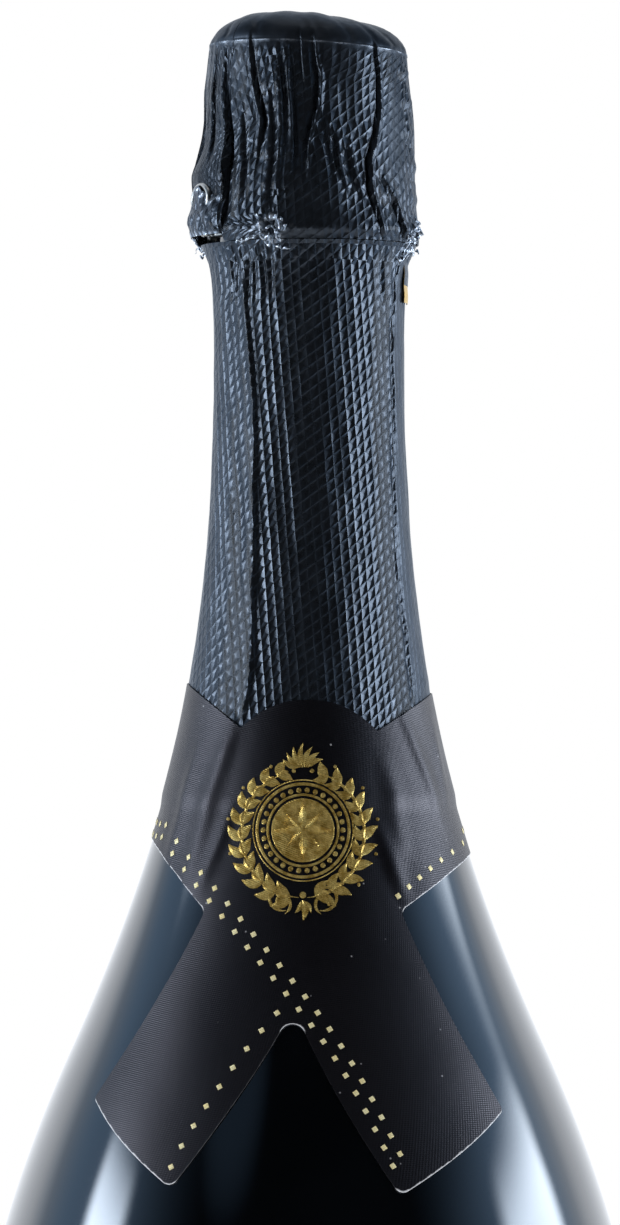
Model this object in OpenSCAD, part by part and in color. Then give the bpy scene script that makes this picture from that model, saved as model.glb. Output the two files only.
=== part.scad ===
// Champagne bottle, 1.5 litre: wired cork under a foil capsule, and a crossed collar label.
// The base stands on z = 0 and the bottle's axis is Z. The label's crossing faces -Y.

/* [Glass] */
// Height of the glass, from the base to the lip
glass_height = 370; // [360:1:390]
// Diameter of the body
body_diameter = 114.5; // [112:0.5:118]
// Height where the upright wall of the body ends
body_wall_top = 150; // [135:1:155]
// Height where the shoulder turns from full to hollow
shoulder_height = 219; // [212:1:224]
// Diameter of the shoulder at that height
shoulder_diameter = 79; // [76:0.5:82]
// Slope of the shoulder there, measured from the upright, in degrees
shoulder_slope = 24.4; // [22:0.2:27]
// Diameter of the neck
neck_diameter = 31.1; // [30.5:0.1:31.4]
// Length of the straight neck, from the lip down
neck_length = 35; // [33:1:40]
// Wall of the body and the shoulder
body_wall = 5.6; // [4:0.1:6]
// Wall of the neck
neck_wall = 4.6; // [4:0.1:5]
// Radius of the heel
heel_radius = 9; // [7:0.5:12]
// Width of the flat ring that the bottle stands on
bearing_width = 4; // [3:0.5:6]
// Depth of the punt
punt_depth = 38; // [30:1:46]
// Thickness of the glass over the punt
punt_glass = 7.5; // [5:0.5:9]

/* [Mouth] */
// Diameter of the bore that the cork fills
bore_diameter = 18; // [17.5:0.1:18.6]
// Depth of the straight bore
bore_depth = 26; // [25.5:0.5:29]
// Diameter of the lip's bead
lip_diameter = 28.6; // [28.2:0.1:28.8]
// Height of the lip's bead
lip_height = 6; // [5:0.1:6.5]
// Diameter of the ring that the wire hooks under
ring_diameter = 33.2; // [32.8:0.1:33.4]
// Height of that ring
ring_height = 6.2; // [5.6:0.1:6.4]
// Depth of the ring's underside below the lip
ring_depth = 14.2; // [13.8:0.1:14.4]

/* [Cork] */
// Play between the cork and the bore, on the radius
cork_play = 0.05; // [0.02:0.01:0.1]
// Length of the cork inside the neck
cork_length = 25; // [22:0.5:25.2]
// Thickness of each disc of natural cork
disc_height = 5.5; // [4.5:0.1:6.5]
// Diameter of the cork's head
head_diameter = 27.8; // [26.8:0.1:28]
// Height of the cork's head above the lip
head_height = 14.4; // [13.8:0.1:14.6]

/* [Cap and wire] */
// Diameter of the crown cap over the cork
cap_diameter = 28.4; // [28:0.1:28.6]
// Thickness of the crown cap
cap_sheet = 0.35; // [0.3:0.05:0.4]
// Diameter of the frame wire
wire_diameter = 0.9; // [0.8:0.05:0.95]
// Diameter of the belt wire
belt_diameter = 1; // [0.9:0.05:1.1]
// Diameter of the wire ring on the cap, at the wire's centre
top_ring_diameter = 21; // [20:0.5:22]
// Half turns of twist in each leg
leg_half_turns = 9; // [7:1:11]
// Bearing of the first leg, in degrees from the front to the right
leg_bearing = -20; // [-26:1:-16]
// Bearing of the finger loop
loop_bearing = -70; // [-74:1:-66]
// Width of the finger loop, at the wire's centre
loop_width = 8; // [6:0.5:9]
// Height of the finger loop's eye, at the wire's centre
loop_height = 4.6; // [4:0.1:4.8]

/* [Capsule] */
// Thickness of the foil with its lining
foil = 0.25; // [0.2:0.05:0.3]
// Height where the sleeve ends, under the label
sleeve_low = 262; // [258:1:266]
// Diameter of the hood over the wire belt
hood_diameter = 38.6; // [38.4:0.1:39.2]
// Diameter of the hood at the crease round its top
crease_diameter = 33; // [32.8:0.1:33.6]
// Height of that crease above the lip
crease_rise = 15; // [14.5:0.5:16]
// Height of the hood's crown above the lip
crown_rise = 22.3; // [21.5:0.1:24]
// Lean of the crown to the right, in degrees
crown_lean = 3; // [0:0.5:4]
// Depth of the deepest folds of the hood
fold_depth = 0.7; // [0.2:0.1:0.8]
// Height of the tear tab
tab_height = 8; // [6:0.5:9]
// Bearings of the tear tab's free edge and of its root, in degrees
tab_free = 72; // [68:1:76]
tab_root = 98; // [94:1:102]

/* [Label] */
// Thickness of the label
label_sheet = 0.2; // [0.15:0.05:0.3]
// Turn of the label round the bottle, in degrees
label_turn = -2.4; // [-5:0.1:5]
// Height of the upper edge at the sides
label_side_top = 280; // [278:0.5:282]
// Height of the lower edge at the sides
label_side_low = 252.5; // [250:0.5:255]
// Half width and height of the points where the upper edge turns up into its arch
label_point_x = 10.1; // [9:0.1:11]
label_point_z = 272.6; // [271:0.1:274]
// Height of the arch over the crossing
label_arch_z = 277.8; // [276:0.1:279]
// Half width and height of the inner corners below the sides
label_waist_x = 16.6; // [15:0.1:18]
label_waist_z = 243.3; // [242:0.1:245]
// Half width and height of the tails' outer corners
tail_outer_x = 33; // [32:0.1:34]
tail_outer_z = 211.8; // [210:0.1:213]
// Half width and height of the tails' lowest corners
tail_low_x = 18.4; // [17:0.1:20]
tail_low_z = 199.8; // [198:0.1:202]
// Height of the notch between the tails
tail_notch_z = 225.5; // [223:0.1:228]
// Height that the upper edge gains and the lower edge gains at the back
back_top_rise = 1.5; // [0:0.1:3]
back_low_rise = 4; // [0:0.1:6]

/* [Hidden] */
$fn = 96;

// Clearances
sheet_gap = 0.1;
seat_gap = 0.1;
strand_gap = 0.1;
loop_strand_gap = 0.44;
moving_gap = 0.3;

// Steps of the curves
shoulder_steps = 14;
heel_steps = 6;
bead_steps = 4;

body_r = body_diameter / 2;
neck_r = neck_diameter / 2;
bore_r = bore_diameter / 2;
lip_r = lip_diameter / 2;
ring_r = ring_diameter / 2;
shoulder_r = shoulder_diameter / 2;
neck_low = glass_height - neck_length;
ring_low = glass_height - ring_depth;
ring_top = ring_low + ring_height;
lip_low = glass_height - lip_height;

// Curve helpers

function arc(centre, radius, from, to, steps) = [
    for (i = [0 : steps])
        let (a = from + (to - from) * i / steps)
            [centre[0] + radius * cos(a), centre[1] + radius * sin(a)]
];

function spline(a, b, c, d, steps) = [
    for (i = [0 : steps])
        let (t = i / steps, u = 1 - t)
            u * u * u * a + 3 * u * u * t * b + 3 * u * t * t * c + t * t * t * d
];

function reverse(list) = [for (i = [len(list) - 1 : -1 : 0]) list[i]];

function smooth(x) = let (t = max(0, min(1, x))) t * t * (3 - 2 * t);

function bump(x, width) = exp(-(x * x) / (width * width));

// Difference between two bearings, from -180 to 180
function turn(a, b) = let (d = a - b) d - 360 * round(d / 360);

// A point at a bearing from the front (-Y) towards the right (+X)
function at(bearing, radius, z) = [radius * sin(bearing), -radius * cos(bearing), z];

// A corner at b between the points a and c, rounded to a radius
function corner(a, b, c, radius, steps) =
    let (
        u = (a - b) / norm(a - b),
        v = (c - b) / norm(c - b),
        half = acos(u * v) / 2,
        reach = radius / tan(half),
        middle = b + (u + v) / norm(u + v) * (radius / sin(half)),
        p = b + u * reach - middle,
        q = b + v * reach - middle,
        from = atan2(p[1], p[0]),
        sweep = turn(atan2(q[1], q[0]), from)
    )
    arc(middle, radius, from, from + sweep, steps);

// A closed outline whose corners carry their radius as a third number
function rounded(points) = [
    for (i = [0 : len(points) - 1])
        let (
            a = points[(i + len(points) - 1) % len(points)],
            b = points[i],
            c = points[(i + 1) % len(points)]
        )
            each b[2] == 0
                ? [[b[0], b[1]]]
                : corner([a[0], a[1]], [b[0], b[1]], [c[0], c[1]], b[2], bead_steps)
];

// The outside of the glass, as [radius, height] from the heel to the neck

shoulder_dir = [sin(shoulder_slope), -cos(shoulder_slope)];
shoulder_turn = [shoulder_r, shoulder_height];
neck_span = neck_low - shoulder_height;
body_span = shoulder_height - body_wall_top;

full_curve = spline(
    [body_r, body_wall_top],
    [body_r, body_wall_top + 0.26 * body_span],
    shoulder_turn + 0.435 * body_span * shoulder_dir,
    shoulder_turn,
    shoulder_steps
);
hollow_curve = spline(
    shoulder_turn,
    shoulder_turn - 0.39 * neck_span * shoulder_dir,
    [neck_r, neck_low - 0.38 * neck_span],
    [neck_r, neck_low],
    shoulder_steps
);
side_curve = concat(
    full_curve,
    [for (i = [1 : len(hollow_curve) - 1]) hollow_curve[i]],
    [[neck_r, ring_low - 1]]
);
side_keys = [for (p = side_curve) [p[1], p[0]]];

// Outside radius of the plain glass at a height
function glass_r(z) = lookup(z, side_keys);

// The glass's outline between two heights, moved outwards
function skin(low, high, off) = concat(
    [[glass_r(low) + off, low]],
    [for (p = side_curve) if (p[1] > low + 0.2 && p[1] < high - 0.2) [p[0] + off, p[1]]],
    [[glass_r(high) + off, high]]
);

function wall_at(z) =
    body_wall + (neck_wall - body_wall) * smooth((z - shoulder_height) / neck_span);

// Glass

heel_curve = arc([body_r - heel_radius, heel_radius], heel_radius, -90, 0, heel_steps);
bearing_inner = body_r - heel_radius - bearing_width;
ring_round = 1;
lip_round = 1.6;
mouth_round = 1;
neck_waist_r = lip_r - 0.7;

ring_curve = concat(
    [[neck_r, ring_low - 0.4]],
    arc([ring_r - ring_round, ring_low + ring_round], ring_round, -90, 0, bead_steps),
    arc([ring_r - ring_round, ring_top - ring_round], ring_round, 0, 90, bead_steps)
);
lip_curve = concat(
    [[neck_waist_r, ring_top + 0.8], [neck_waist_r, lip_low - 0.4]],
    arc([lip_r - 0.8, lip_low + 0.8], 0.8, -90, 0, bead_steps),
    arc([lip_r - lip_round, glass_height - lip_round], lip_round, 0, 90, bead_steps),
    arc([bore_r + mouth_round, glass_height - mouth_round], mouth_round, 90, 180, bead_steps)
);
bore_curve = [
    [bore_r, glass_height - bore_depth],
    [neck_r - neck_wall, min(neck_low, glass_height - bore_depth - 6)]
];
inner_side = [
    for (p = reverse(side_curve))
        if (p[1] < neck_low - 1) [p[0] - wall_at(p[1]), p[1]]
];
trough_r = bearing_inner + bearing_width / 2;
trough_z = 1.8 * body_wall;
inner_r = body_r - body_wall;
floor_z = punt_depth + punt_glass;
trough_curve = spline(
    [inner_r, trough_z + 8], [inner_r, trough_z + 3], [inner_r - 3, trough_z], [trough_r, trough_z],
    bead_steps
);
floor_curve = spline(
    [trough_r, trough_z], [trough_r - 6, trough_z], [0.66 * trough_r, floor_z], [0, floor_z],
    shoulder_steps
);
punt_curve = spline(
    [0, punt_depth], [0.6 * bearing_inner, punt_depth], [0.9 * bearing_inner, 0.3 * punt_depth],
    [bearing_inner, 0],
    shoulder_steps
);

module glass_bottle() {
    color("#14181c")
        rotate_extrude()
            polygon(concat(
                heel_curve, full_curve,
                [for (i = [1 : len(hollow_curve) - 1]) hollow_curve[i]],
                ring_curve, lip_curve, bore_curve, inner_side,
                trough_curve, [for (i = [1 : len(floor_curve) - 1]) floor_curve[i]],
                punt_curve
            ));
}

// Cork

cork_r = bore_r - cork_play;
cork_low = glass_height - cork_length;
head_low = glass_height + seat_gap;
head_top = head_low + head_height;
head_r = head_diameter / 2;

module cork_trunk() {
    color("#b98f5f")
        rotate_extrude()
            polygon(concat(
                [[0, cork_low + 2 * disc_height], [cork_r, cork_low + 2 * disc_height]],
                [[cork_r, head_low]],
                arc([head_r - 1.2, head_low + 1.2], 1.2, -90, 0, bead_steps),
                arc([head_r - 3, head_top - 3], 3, 0, 90, heel_steps),
                [[0, head_top]]
            ));
}

module cork_disc(level) {
    color("#d2ab78")
        translate([0, 0, cork_low + level * disc_height])
            cylinder(r = cork_r, h = disc_height);
}

module cork_disc_upper() {
    cork_disc(1);
}

module cork_disc_lower() {
    cork_disc(0);
}

// Crown cap: a stamped plate with a groove for the wire ring and a rim turned down

cap_r = cap_diameter / 2;
cap_low = head_top + seat_gap;
top_ring_r = top_ring_diameter / 2;
cap_groove = wire_diameter / 2 + 0.5;
cap_rim = 1.9;

cap_underside = [
    [0, cap_low + 1.3],
    [top_ring_r - cap_groove - 1.2, cap_low + 1.1],
    [top_ring_r - cap_groove, cap_low],
    [top_ring_r + cap_groove, cap_low],
    [cap_r - cap_sheet - 1.4, cap_low + 0.35],
    [cap_r - cap_sheet - 0.4, cap_low - 0.3],
    [cap_r - cap_sheet, cap_low - cap_rim]
];
cap_topside = [
    [cap_r, cap_low - cap_rim],
    [cap_r - 0.4, cap_low - 0.1],
    [cap_r - 1.4, cap_low + 0.35 + cap_sheet],
    [top_ring_r + cap_groove, cap_low + cap_sheet],
    [top_ring_r - cap_groove, cap_low + cap_sheet],
    [top_ring_r - cap_groove - 1.2, cap_low + 1.1 + cap_sheet],
    [0, cap_low + 1.3 + cap_sheet]
];

module crown_cap() {
    color("#b9bcc2")
        rotate_extrude()
            polygon(concat(cap_underside, cap_topside));
}

// Wires: a round tube along a path, of six sides

function unit(v) = v / norm(v);

function tangents(path) = [
    for (i = [0 : len(path) - 1])
        unit(path[min(i + 1, len(path) - 1)] - path[max(i - 1, 0)])
];

function normals(t, n, i = 0, done = []) =
    i >= len(t)
        ? done
        : let (m = unit(n - (n * t[i]) * t[i])) normals(t, m, i + 1, concat(done, [m]));

wire_sides = 6;

module tube(path, diameter, start) {
    t = tangents(path);
    n = normals(t, start);
    s = wire_sides;
    last = len(path) - 1;
    points = [
        for (i = [0 : last], k = [0 : s - 1])
            let (a = 360 * k / s, b = cross(t[i], n[i]))
                path[i] + diameter / 2 * (cos(a) * n[i] + sin(a) * b)
    ];
    sides = [
        for (i = [0 : last - 1], k = [0 : s - 1])
            let (a = i * s + k, b = i * s + (k + 1) % s)
                each [[a, b, a + s], [b, b + s, a + s]]
    ];
    ends = [
        for (k = [1 : s - 2])
            each [[0, k + 1, k], [last * s, last * s + k, last * s + k + 1]]
    ];
    polyhedron(points, concat(sides, ends));
}

// Least distance between two stretches of a path that are further apart along it than skip
function self_gap(path, diameter, skip) = min([
    for (i = [0 : len(path) - 1])
        for (j = [i + skip : 1 : len(path) - 1])
            norm(path[i] - path[j])
]) - diameter;

// The line of a leg, as [radius, height]: out over the cap, down to the glass ring and past it

strand = (wire_diameter + strand_gap) / 2;
leg_reach = strand + wire_diameter / 2;
belt_r = neck_r + 0.55 + belt_diameter / 2;
belt_z = ring_low - seat_gap - 0.4 - belt_diameter / 2;
hook_r = (belt_diameter + wire_diameter) / 2 + strand_gap;
leg_top = [cap_r + leg_reach + seat_gap, cap_low - 0.8];
leg_knee = [ring_r + leg_reach + strand_gap, ring_top];
leg_low = [ring_r + leg_reach + strand_gap, ring_low + 0.4];
top_wire_z = cap_low + cap_sheet + wire_diameter / 2 + 0.05;
leg_start = [top_ring_r + 0.8, top_wire_z + 0.05];
spoke_steps = 6;
leg_steps = leg_half_turns * 4;
ring_steps = 6;
drop_steps = leg_steps - spoke_steps - ring_steps;

spoke_line = spline(
    leg_start,
    leg_start + [1.9, 2.1],
    leg_top + [-0.25, 3.5],
    leg_top,
    spoke_steps
);
down_line = concat(
    [for (i = [1 : drop_steps]) leg_top + (leg_knee - leg_top) * i / drop_steps],
    [for (i = [1 : ring_steps]) leg_knee + (leg_low - leg_knee) * i / ring_steps]
);
twist_line = concat(spoke_line, down_line);
hook_line = arc([belt_r, belt_z], hook_r, 0, -100, 4);

// One strand of a leg: half is 1 or -1 for its side at the top
function strand_points(bearing, half) =
    let (
        side = [cos(bearing), sin(bearing), 0],
        last = len(twist_line) - 1
    )
    concat(
        [
            for (i = [0 : last])
                let (
                    ahead = unit(twist_line[min(i + 1, last)] - twist_line[max(i - 1, 0)]),
                    a = 45 * i,
                    p = twist_line[i] + half * strand * sin(a) * [-ahead[1], ahead[0]]
                )
                    at(bearing, p[0], p[1]) + half * strand * cos(a) * side
        ],
        [
            for (p = hook_line)
                at(bearing, p[0], p[1]) + half * strand * cos(180 * leg_half_turns) * side
        ]
    );

// A frame wire: up one leg, over a quarter of the top ring and down the next leg
ring_ease = 8;

function wire_path(bearing) =
    concat(
        reverse(strand_points(bearing, 1)),
        [at(bearing + ring_ease - 3, top_ring_r + 0.25, top_wire_z)],
        [for (a = [ring_ease + 2 : 12.333 : 88 - ring_ease]) at(bearing + a, top_ring_r, top_wire_z)],
        [at(bearing + 90 - ring_ease + 3, top_ring_r + 0.25, top_wire_z)],
        strand_points(bearing + 90, -1)
    );

module cage_wire(number) {
    path = wire_path(leg_bearing + 90 * number);
    echo(least_gap_of_frame_wire_to_itself = self_gap(path, wire_diameter, 8));
    color("#c9c7bd")
        tube(path, wire_diameter, [0, 0, 1]);
}

module cage_wire_1() {
    cage_wire(0);
}

module cage_wire_2() {
    cage_wire(1);
}

module cage_wire_3() {
    cage_wire(2);
}

module cage_wire_4() {
    cage_wire(3);
}

// Belt wire: an open ring whose ends turn out into the tail of the finger loop

tail = (belt_diameter + loop_strand_gap) / 2;
loop_r = hood_diameter / 2 - 0.3;
root_r = belt_r + belt_diameter / 2 + 0.8;
belt_open = 6.5;

function belt_end(half) =
    let (side = [cos(loop_bearing), sin(loop_bearing), 0])
    [
        at(loop_bearing + half * 4.2, belt_r + 0.12, belt_z),
        at(loop_bearing, belt_r + 0.45, belt_z) + half * (tail + 0.1) * side,
        at(loop_bearing, root_r - moving_gap, belt_z) + half * tail * side
    ];

belt_path = concat(
    reverse(belt_end(1)),
    [for (a = [belt_open : (360 - 2 * belt_open) / 40 : 360 - belt_open + 0.01])
        at(loop_bearing + a, belt_r, belt_z)],
    belt_end(-1)
);

module cage_belt() {
    echo(least_gap_of_belt_wire_to_itself = self_gap(belt_path, belt_diameter, 8));
    color("#c9c7bd")
        tube(belt_path, belt_diameter, [0, 0, 1]);
}

// Finger loop: its tail leaves the belt, turns up, crosses itself and opens into the eye

tail_low = belt_z + 1;
tail_top = tail_low + 2.2;
eye_middle = tail_top + 0.35 + loop_height / 2;
tail_steps = 5;
eye_steps = 16;
eye_start = 24;

// A point of the loop: side is along the belt, out is away from the bottle's axis
function loop_point(side, out, z) =
    at(loop_bearing, loop_r + out, z) + side * [cos(loop_bearing), sin(loop_bearing), 0];

function tail_points(half) = concat(
    [
        loop_point(half * tail, root_r - loop_r, belt_z),
        loop_point(half * tail, -0.55, belt_z + 0.08),
        loop_point(half * tail, -0.12, belt_z + 0.45)
    ],
    [
        for (i = [0 : tail_steps])
            let (a = 180 * i / tail_steps)
                loop_point(
                    half * tail * cos(a),
                    half * tail * sin(a),
                    tail_low + (tail_top - tail_low) * i / tail_steps
                )
    ]
);

loop_path = concat(
    tail_points(1),
    [
        for (i = [0 : eye_steps])
            let (a = -90 - eye_start - (360 - 2 * eye_start) * i / eye_steps)
                loop_point(loop_width / 2 * cos(a), 0, eye_middle + loop_height / 2 * sin(a))
    ],
    reverse(tail_points(-1))
);

module cage_loop() {
    echo(least_gap_of_finger_loop_to_itself = self_gap(loop_path, belt_diameter, 6));
    color("#c9c7bd")
        tube(loop_path, belt_diameter, [0, 0, 1]);
}

// Torn flap of foil over the finger loop: it bulges over the eye and falls back at its sides

eye_top = eye_middle + (loop_height + belt_diameter) / 2;
flap_r = loop_r + tail + belt_diameter / 2 + 0.13;
flap_edge_r = hood_diameter / 2 + 0.1;
flap_low = belt_z + 0.4;
flap_top = eye_top + 0.2;
flap_half = 20;
flap_columns = 16;
flap_rows = 6;

function flap_point(u, v, off) =
    let (
        bulge = 1 - smooth((abs(u) - 0.74) / 0.26),
        tear = 0.35 * v * v * v * sin(540 * u + 40),
        r = flap_edge_r + (flap_r - flap_edge_r) * bulge - 0.5 * smooth((v - 0.82) / 0.18),
        z = flap_low + (flap_top - flap_low - 0.35) * v + tear + 0.5 * (1 - v) * u * u
    )
    at(loop_bearing + flap_half * u, r + off, z);

// A sheet of rows by columns of points, closed by a second one behind it
module sheet(front, back, rows, columns) {
    n = columns + 1;
    behind = (rows + 1) * n;
    face = [
        for (i = [0 : rows - 1], k = [0 : columns - 1])
            let (a = i * n + k)
                each [[a, a + n, a + 1], [a + 1, a + n, a + n + 1]]
    ];
    edge = concat(
        [for (k = [0 : columns]) k],
        [for (i = [1 : rows]) i * n + columns],
        [for (k = [columns - 1 : -1 : 0]) rows * n + k],
        [for (i = [rows - 1 : -1 : 1]) i * n]
    );
    border = [
        for (i = [0 : len(edge) - 1])
            let (a = edge[i], b = edge[(i + 1) % len(edge)])
                each [[a, b, a + behind], [b, b + behind, a + behind]]
    ];
    rear = [for (f = face) [f[0] + behind, f[2] + behind, f[1] + behind]];
    polyhedron(concat(front, back), concat(face, rear, border));
}

module loop_flap() {
    columns = flap_columns;
    rows = flap_rows;
    color("#5a6675")
        sheet(
            [for (i = [0 : rows], k = [0 : columns]) flap_point(2 * k / columns - 1, i / rows, foil)],
            [for (i = [0 : rows], k = [0 : columns]) flap_point(2 * k / columns - 1, i / rows, 0)],
            rows,
            columns
        );
}

// Hood: a thin shell of foil, folded between the wire's legs, with a notch round the loop

belt_crease_z = belt_z;
hood_low = belt_crease_z - 1.5;
hood_r = hood_diameter / 2;
crease_r = crease_diameter / 2;
crease_z = glass_height + crease_rise;
crown_z = glass_height + crown_rise;
hood_tuck = 0.35;
notch_top = flap_top + moving_gap;
notch_half = flap_half + 1;
notch_lip = 0.8;
side_rows = 10;
dome_rows = 5;
round_steps = 62;

hood_side = spline(
    [hood_r, belt_crease_z + 0.4],
    [hood_r - 0.2, belt_crease_z + 10],
    [crease_r + 0.7, crease_z - 11],
    [crease_r, crease_z],
    side_rows
);
hood_dome = spline(
    [crease_r, crease_z],
    [crease_r - 0.1, crease_z + 0.62 * (crown_z - crease_z)],
    [0.8 * crease_r, crown_z],
    [0.3 * crease_r, crown_z],
    dome_rows
);
hood_line = concat(
    [[hood_r - hood_tuck, hood_low]],
    hood_side,
    [for (i = [1 : dome_rows]) hood_dome[i]]
);
hood_bearings = concat(
    [for (i = [0 : 7]) loop_bearing - notch_half + 2 * notch_half * i / 7],
    [for (i = [0 : round_steps])
        loop_bearing + notch_half + notch_lip
            + (360 - 2 * (notch_half + notch_lip)) * i / round_steps]
);

// Bearings of the folds between the legs, with their share of the full depth
fold_bearings = [-52, -32, -2, 22, 42, 95, 118, 142, 185, 208, 232];
fold_shares = [0.5, 0.3, 0.45, 0.3, 1, 0.7, 0.9, 0.6, 0.7, 1, 0.6];

// Ridges where the foil is pressed over the legs
function leg_ridge(b) = 0.3 * max([for (k = [0 : 3]) bump(turn(b, leg_bearing + 90 * k), 7)]);

function fold(b) = -fold_depth * max([
    for (k = [0 : len(fold_bearings) - 1]) fold_shares[k] * bump(turn(b, fold_bearings[k]), 5)
]);

// Folds and ridges fade out at the belt's crease and over the crown
function fold_fade(z) =
    smooth((z - belt_crease_z - 4) / 8) * (1 - smooth((z - crease_z + 3) / 5));

function ridge_fade(z) =
    smooth((z - belt_crease_z - 1) / 5) * (1 - smooth((z - crease_z + 3) / 5));

function hood_point(i, b, inset) =
    let (
        p = hood_line[i],
        last = len(hood_line) - 1,
        ahead = unit(hood_line[min(i + 1, last)] - hood_line[max(i - 1, 0)]),
        in_notch = abs(turn(b, loop_bearing)) < notch_half + 0.01,
        low = in_notch ? notch_top : hood_low,
        z = i == 0 ? low : max(p[1], low + 0.25 * i),
        r = (i > 0 && z > p[1] + 0.01 ? lookup(z, [for (q = hood_side) [q[1], q[0]]]) : p[0]),
        shape = i == 0 && in_notch ? lookup(z, [for (q = hood_side) [q[1], q[0]]]) : r,
        off = fold_fade(z) * fold(b) + ridge_fade(z) * leg_ridge(b),
        out = shape + off - inset * ahead[1],
        lean = tan(crown_lean) * smooth((z - crease_z + 12) / 12)
    )
    at(b, out, z + inset * ahead[0] - lean * out * sin(b));

module foil_hood() {
    rows = len(hood_line);
    n = len(hood_bearings);
    crown = 2 * rows * n;
    points = concat(
        [for (side = [0, foil], i = [0 : rows - 1], b = hood_bearings) hood_point(i, b, side)],
        [[0, 0, crown_z], [0, 0, crown_z - foil]]
    );
    outer = [
        for (i = [0 : rows - 2], k = [0 : n - 1])
            let (a = i * n + k, b = i * n + (k + 1) % n)
                each [[a, a + n, b], [b, a + n, b + n]]
    ];
    inner = [
        for (f = outer)
            [f[0] + rows * n, f[2] + rows * n, f[1] + rows * n]
    ];
    rim = [
        for (k = [0 : n - 1])
            let (a = k, b = (k + 1) % n, c = rows * n)
                each [[a, b, a + c], [b, b + c, a + c]]
    ];
    top = [
        for (k = [0 : n - 1])
            let (a = (rows - 1) * n + k, b = (rows - 1) * n + (k + 1) % n, c = rows * n)
                each [[a, crown, b], [a + c, b + c, crown + 1]]
    ];
    color("#4c5866")
        polyhedron(points, concat(outer, inner, rim, top));
}

// Sleeve: follows the glass and flares up to the hood

sleeve_off = sheet_gap + foil;
sleeve_top = hood_low - moving_gap;
sleeve_top_r = hood_r - hood_tuck - 0.5;
flare_low = ring_low - 17.8;

function sleeve_side(off) = concat(
    skin(sleeve_low, flare_low, off),
    [
        for (p = spline(
            [neck_r, flare_low],
            [neck_r + 0.15, flare_low + 7],
            [neck_r + 0.95, flare_low + 11.5],
            [sleeve_top_r - sleeve_off, sleeve_top],
            6
        ))
            if (p[1] > flare_low + 0.1) [p[0] + off, p[1]]
    ]
);
sleeve_keys = [for (p = sleeve_side(sleeve_off)) [p[1], p[0]]];

module foil_sleeve() {
    color("#4c5866")
        rotate_extrude()
            polygon(concat(sleeve_side(sheet_gap), reverse(sleeve_side(sleeve_off))));
}

// Tear tab: a short strip that lies on the sleeve and peels off from its free edge

tab_top = sleeve_top - 2.2;
tab_low = tab_top - tab_height;
tab_sheet = 0.2;

function tab_side(off) = [
    for (i = [0 : 4])
        let (z = tab_low + tab_height * i / 4)
            [lookup(z, sleeve_keys) + moving_gap + off, z]
];

module tear_tab() {
    color("#a98a4b")
        rotate([0, 0, tab_free - 90])
            rotate_extrude(angle = tab_root - tab_free)
                polygon(concat(tab_side(0), reverse(tab_side(tab_sheet))));
}

// Label: a thin skin over the sleeve's end and the glass, cut to its outline from the front and back

label_off = sheet_gap;
step_top = sleeve_low - 0.4;
step_low = sleeve_low - 3;
label_top = label_side_top + back_top_rise + 1;
cut_depth = body_r + 5;

function label_side(off) = concat(
    skin(tail_low_z - 2, step_low, off),
    skin(step_top, label_top, off + sleeve_off)
);

arch_rise = label_arch_z - label_point_z;
arch_r = (label_point_x * label_point_x + arch_rise * arch_rise) / (2 * arch_rise);
arch_half = asin(label_point_x / arch_r);
side_reach = glass_r(label_side_low) + 2;

// Height of the front's edges carried on past the sides, so that the cut is clean
waist_slope = (label_side_low - label_waist_z) / (glass_r(label_side_low) - label_waist_x);
upper_slope = (label_side_top - label_point_z) / (glass_r(label_side_top) - label_point_x);

front_right = [
    [label_point_x, label_point_z, 1],
    [side_reach, label_point_z + upper_slope * (side_reach - label_point_x), 0],
    [side_reach, label_waist_z + waist_slope * (side_reach - label_waist_x), 0],
    [label_waist_x, label_waist_z, 4],
    [tail_outer_x, tail_outer_z, 1.5],
    [tail_low_x, tail_low_z, 2.5]
];
front_left = [for (p = reverse(front_right)) [-p[0], p[1], p[2]]];
front_outline = concat(
    rounded(concat(front_right, [[0, tail_notch_z, 3]], front_left)),
    arc([0, label_arch_z - arch_r], arch_r, 90 + arch_half - 6, 90 - arch_half + 6, 12)
);
back_outline = concat(
    arc_through(side_reach, label_side_low, back_low_rise),
    reverse(arc_through(side_reach, label_side_top, back_top_rise))
);

// Points of a flat arc from one side to the other, rising in the middle
function arc_through(half, z, rise) = [
    for (i = [-6 : 6]) [half * i / 6, z + rise * (1 - i * i / 36)]
];

module label_half(outline, back) {
    rotate([90, 0, back ? 180 : 0])
        linear_extrude(cut_depth)
            polygon(outline);
}

module collar_label() {
    color("#17131a")
        rotate([0, 0, label_turn])
            intersection() {
                rotate_extrude()
                    polygon(concat(label_side(label_off), reverse(label_side(label_off + label_sheet))));
                union() {
                    label_half(front_outline, false);
                    label_half(back_outline, true);
                }
            }
}

glass_bottle();
cork_trunk();
cork_disc_upper();
cork_disc_lower();
crown_cap();
cage_wire_1();
cage_wire_2();
cage_wire_3();
cage_wire_4();
cage_belt();
cage_loop();
loop_flap();
foil_hood();
foil_sleeve();
tear_tab();
collar_label();
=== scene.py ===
"""A sealed champagne bottle: black glass, wired cork, embossed foil capsule and crossed label."""

import logging
import math
from collections.abc import Callable
from dataclasses import dataclass
from enum import Enum

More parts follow.
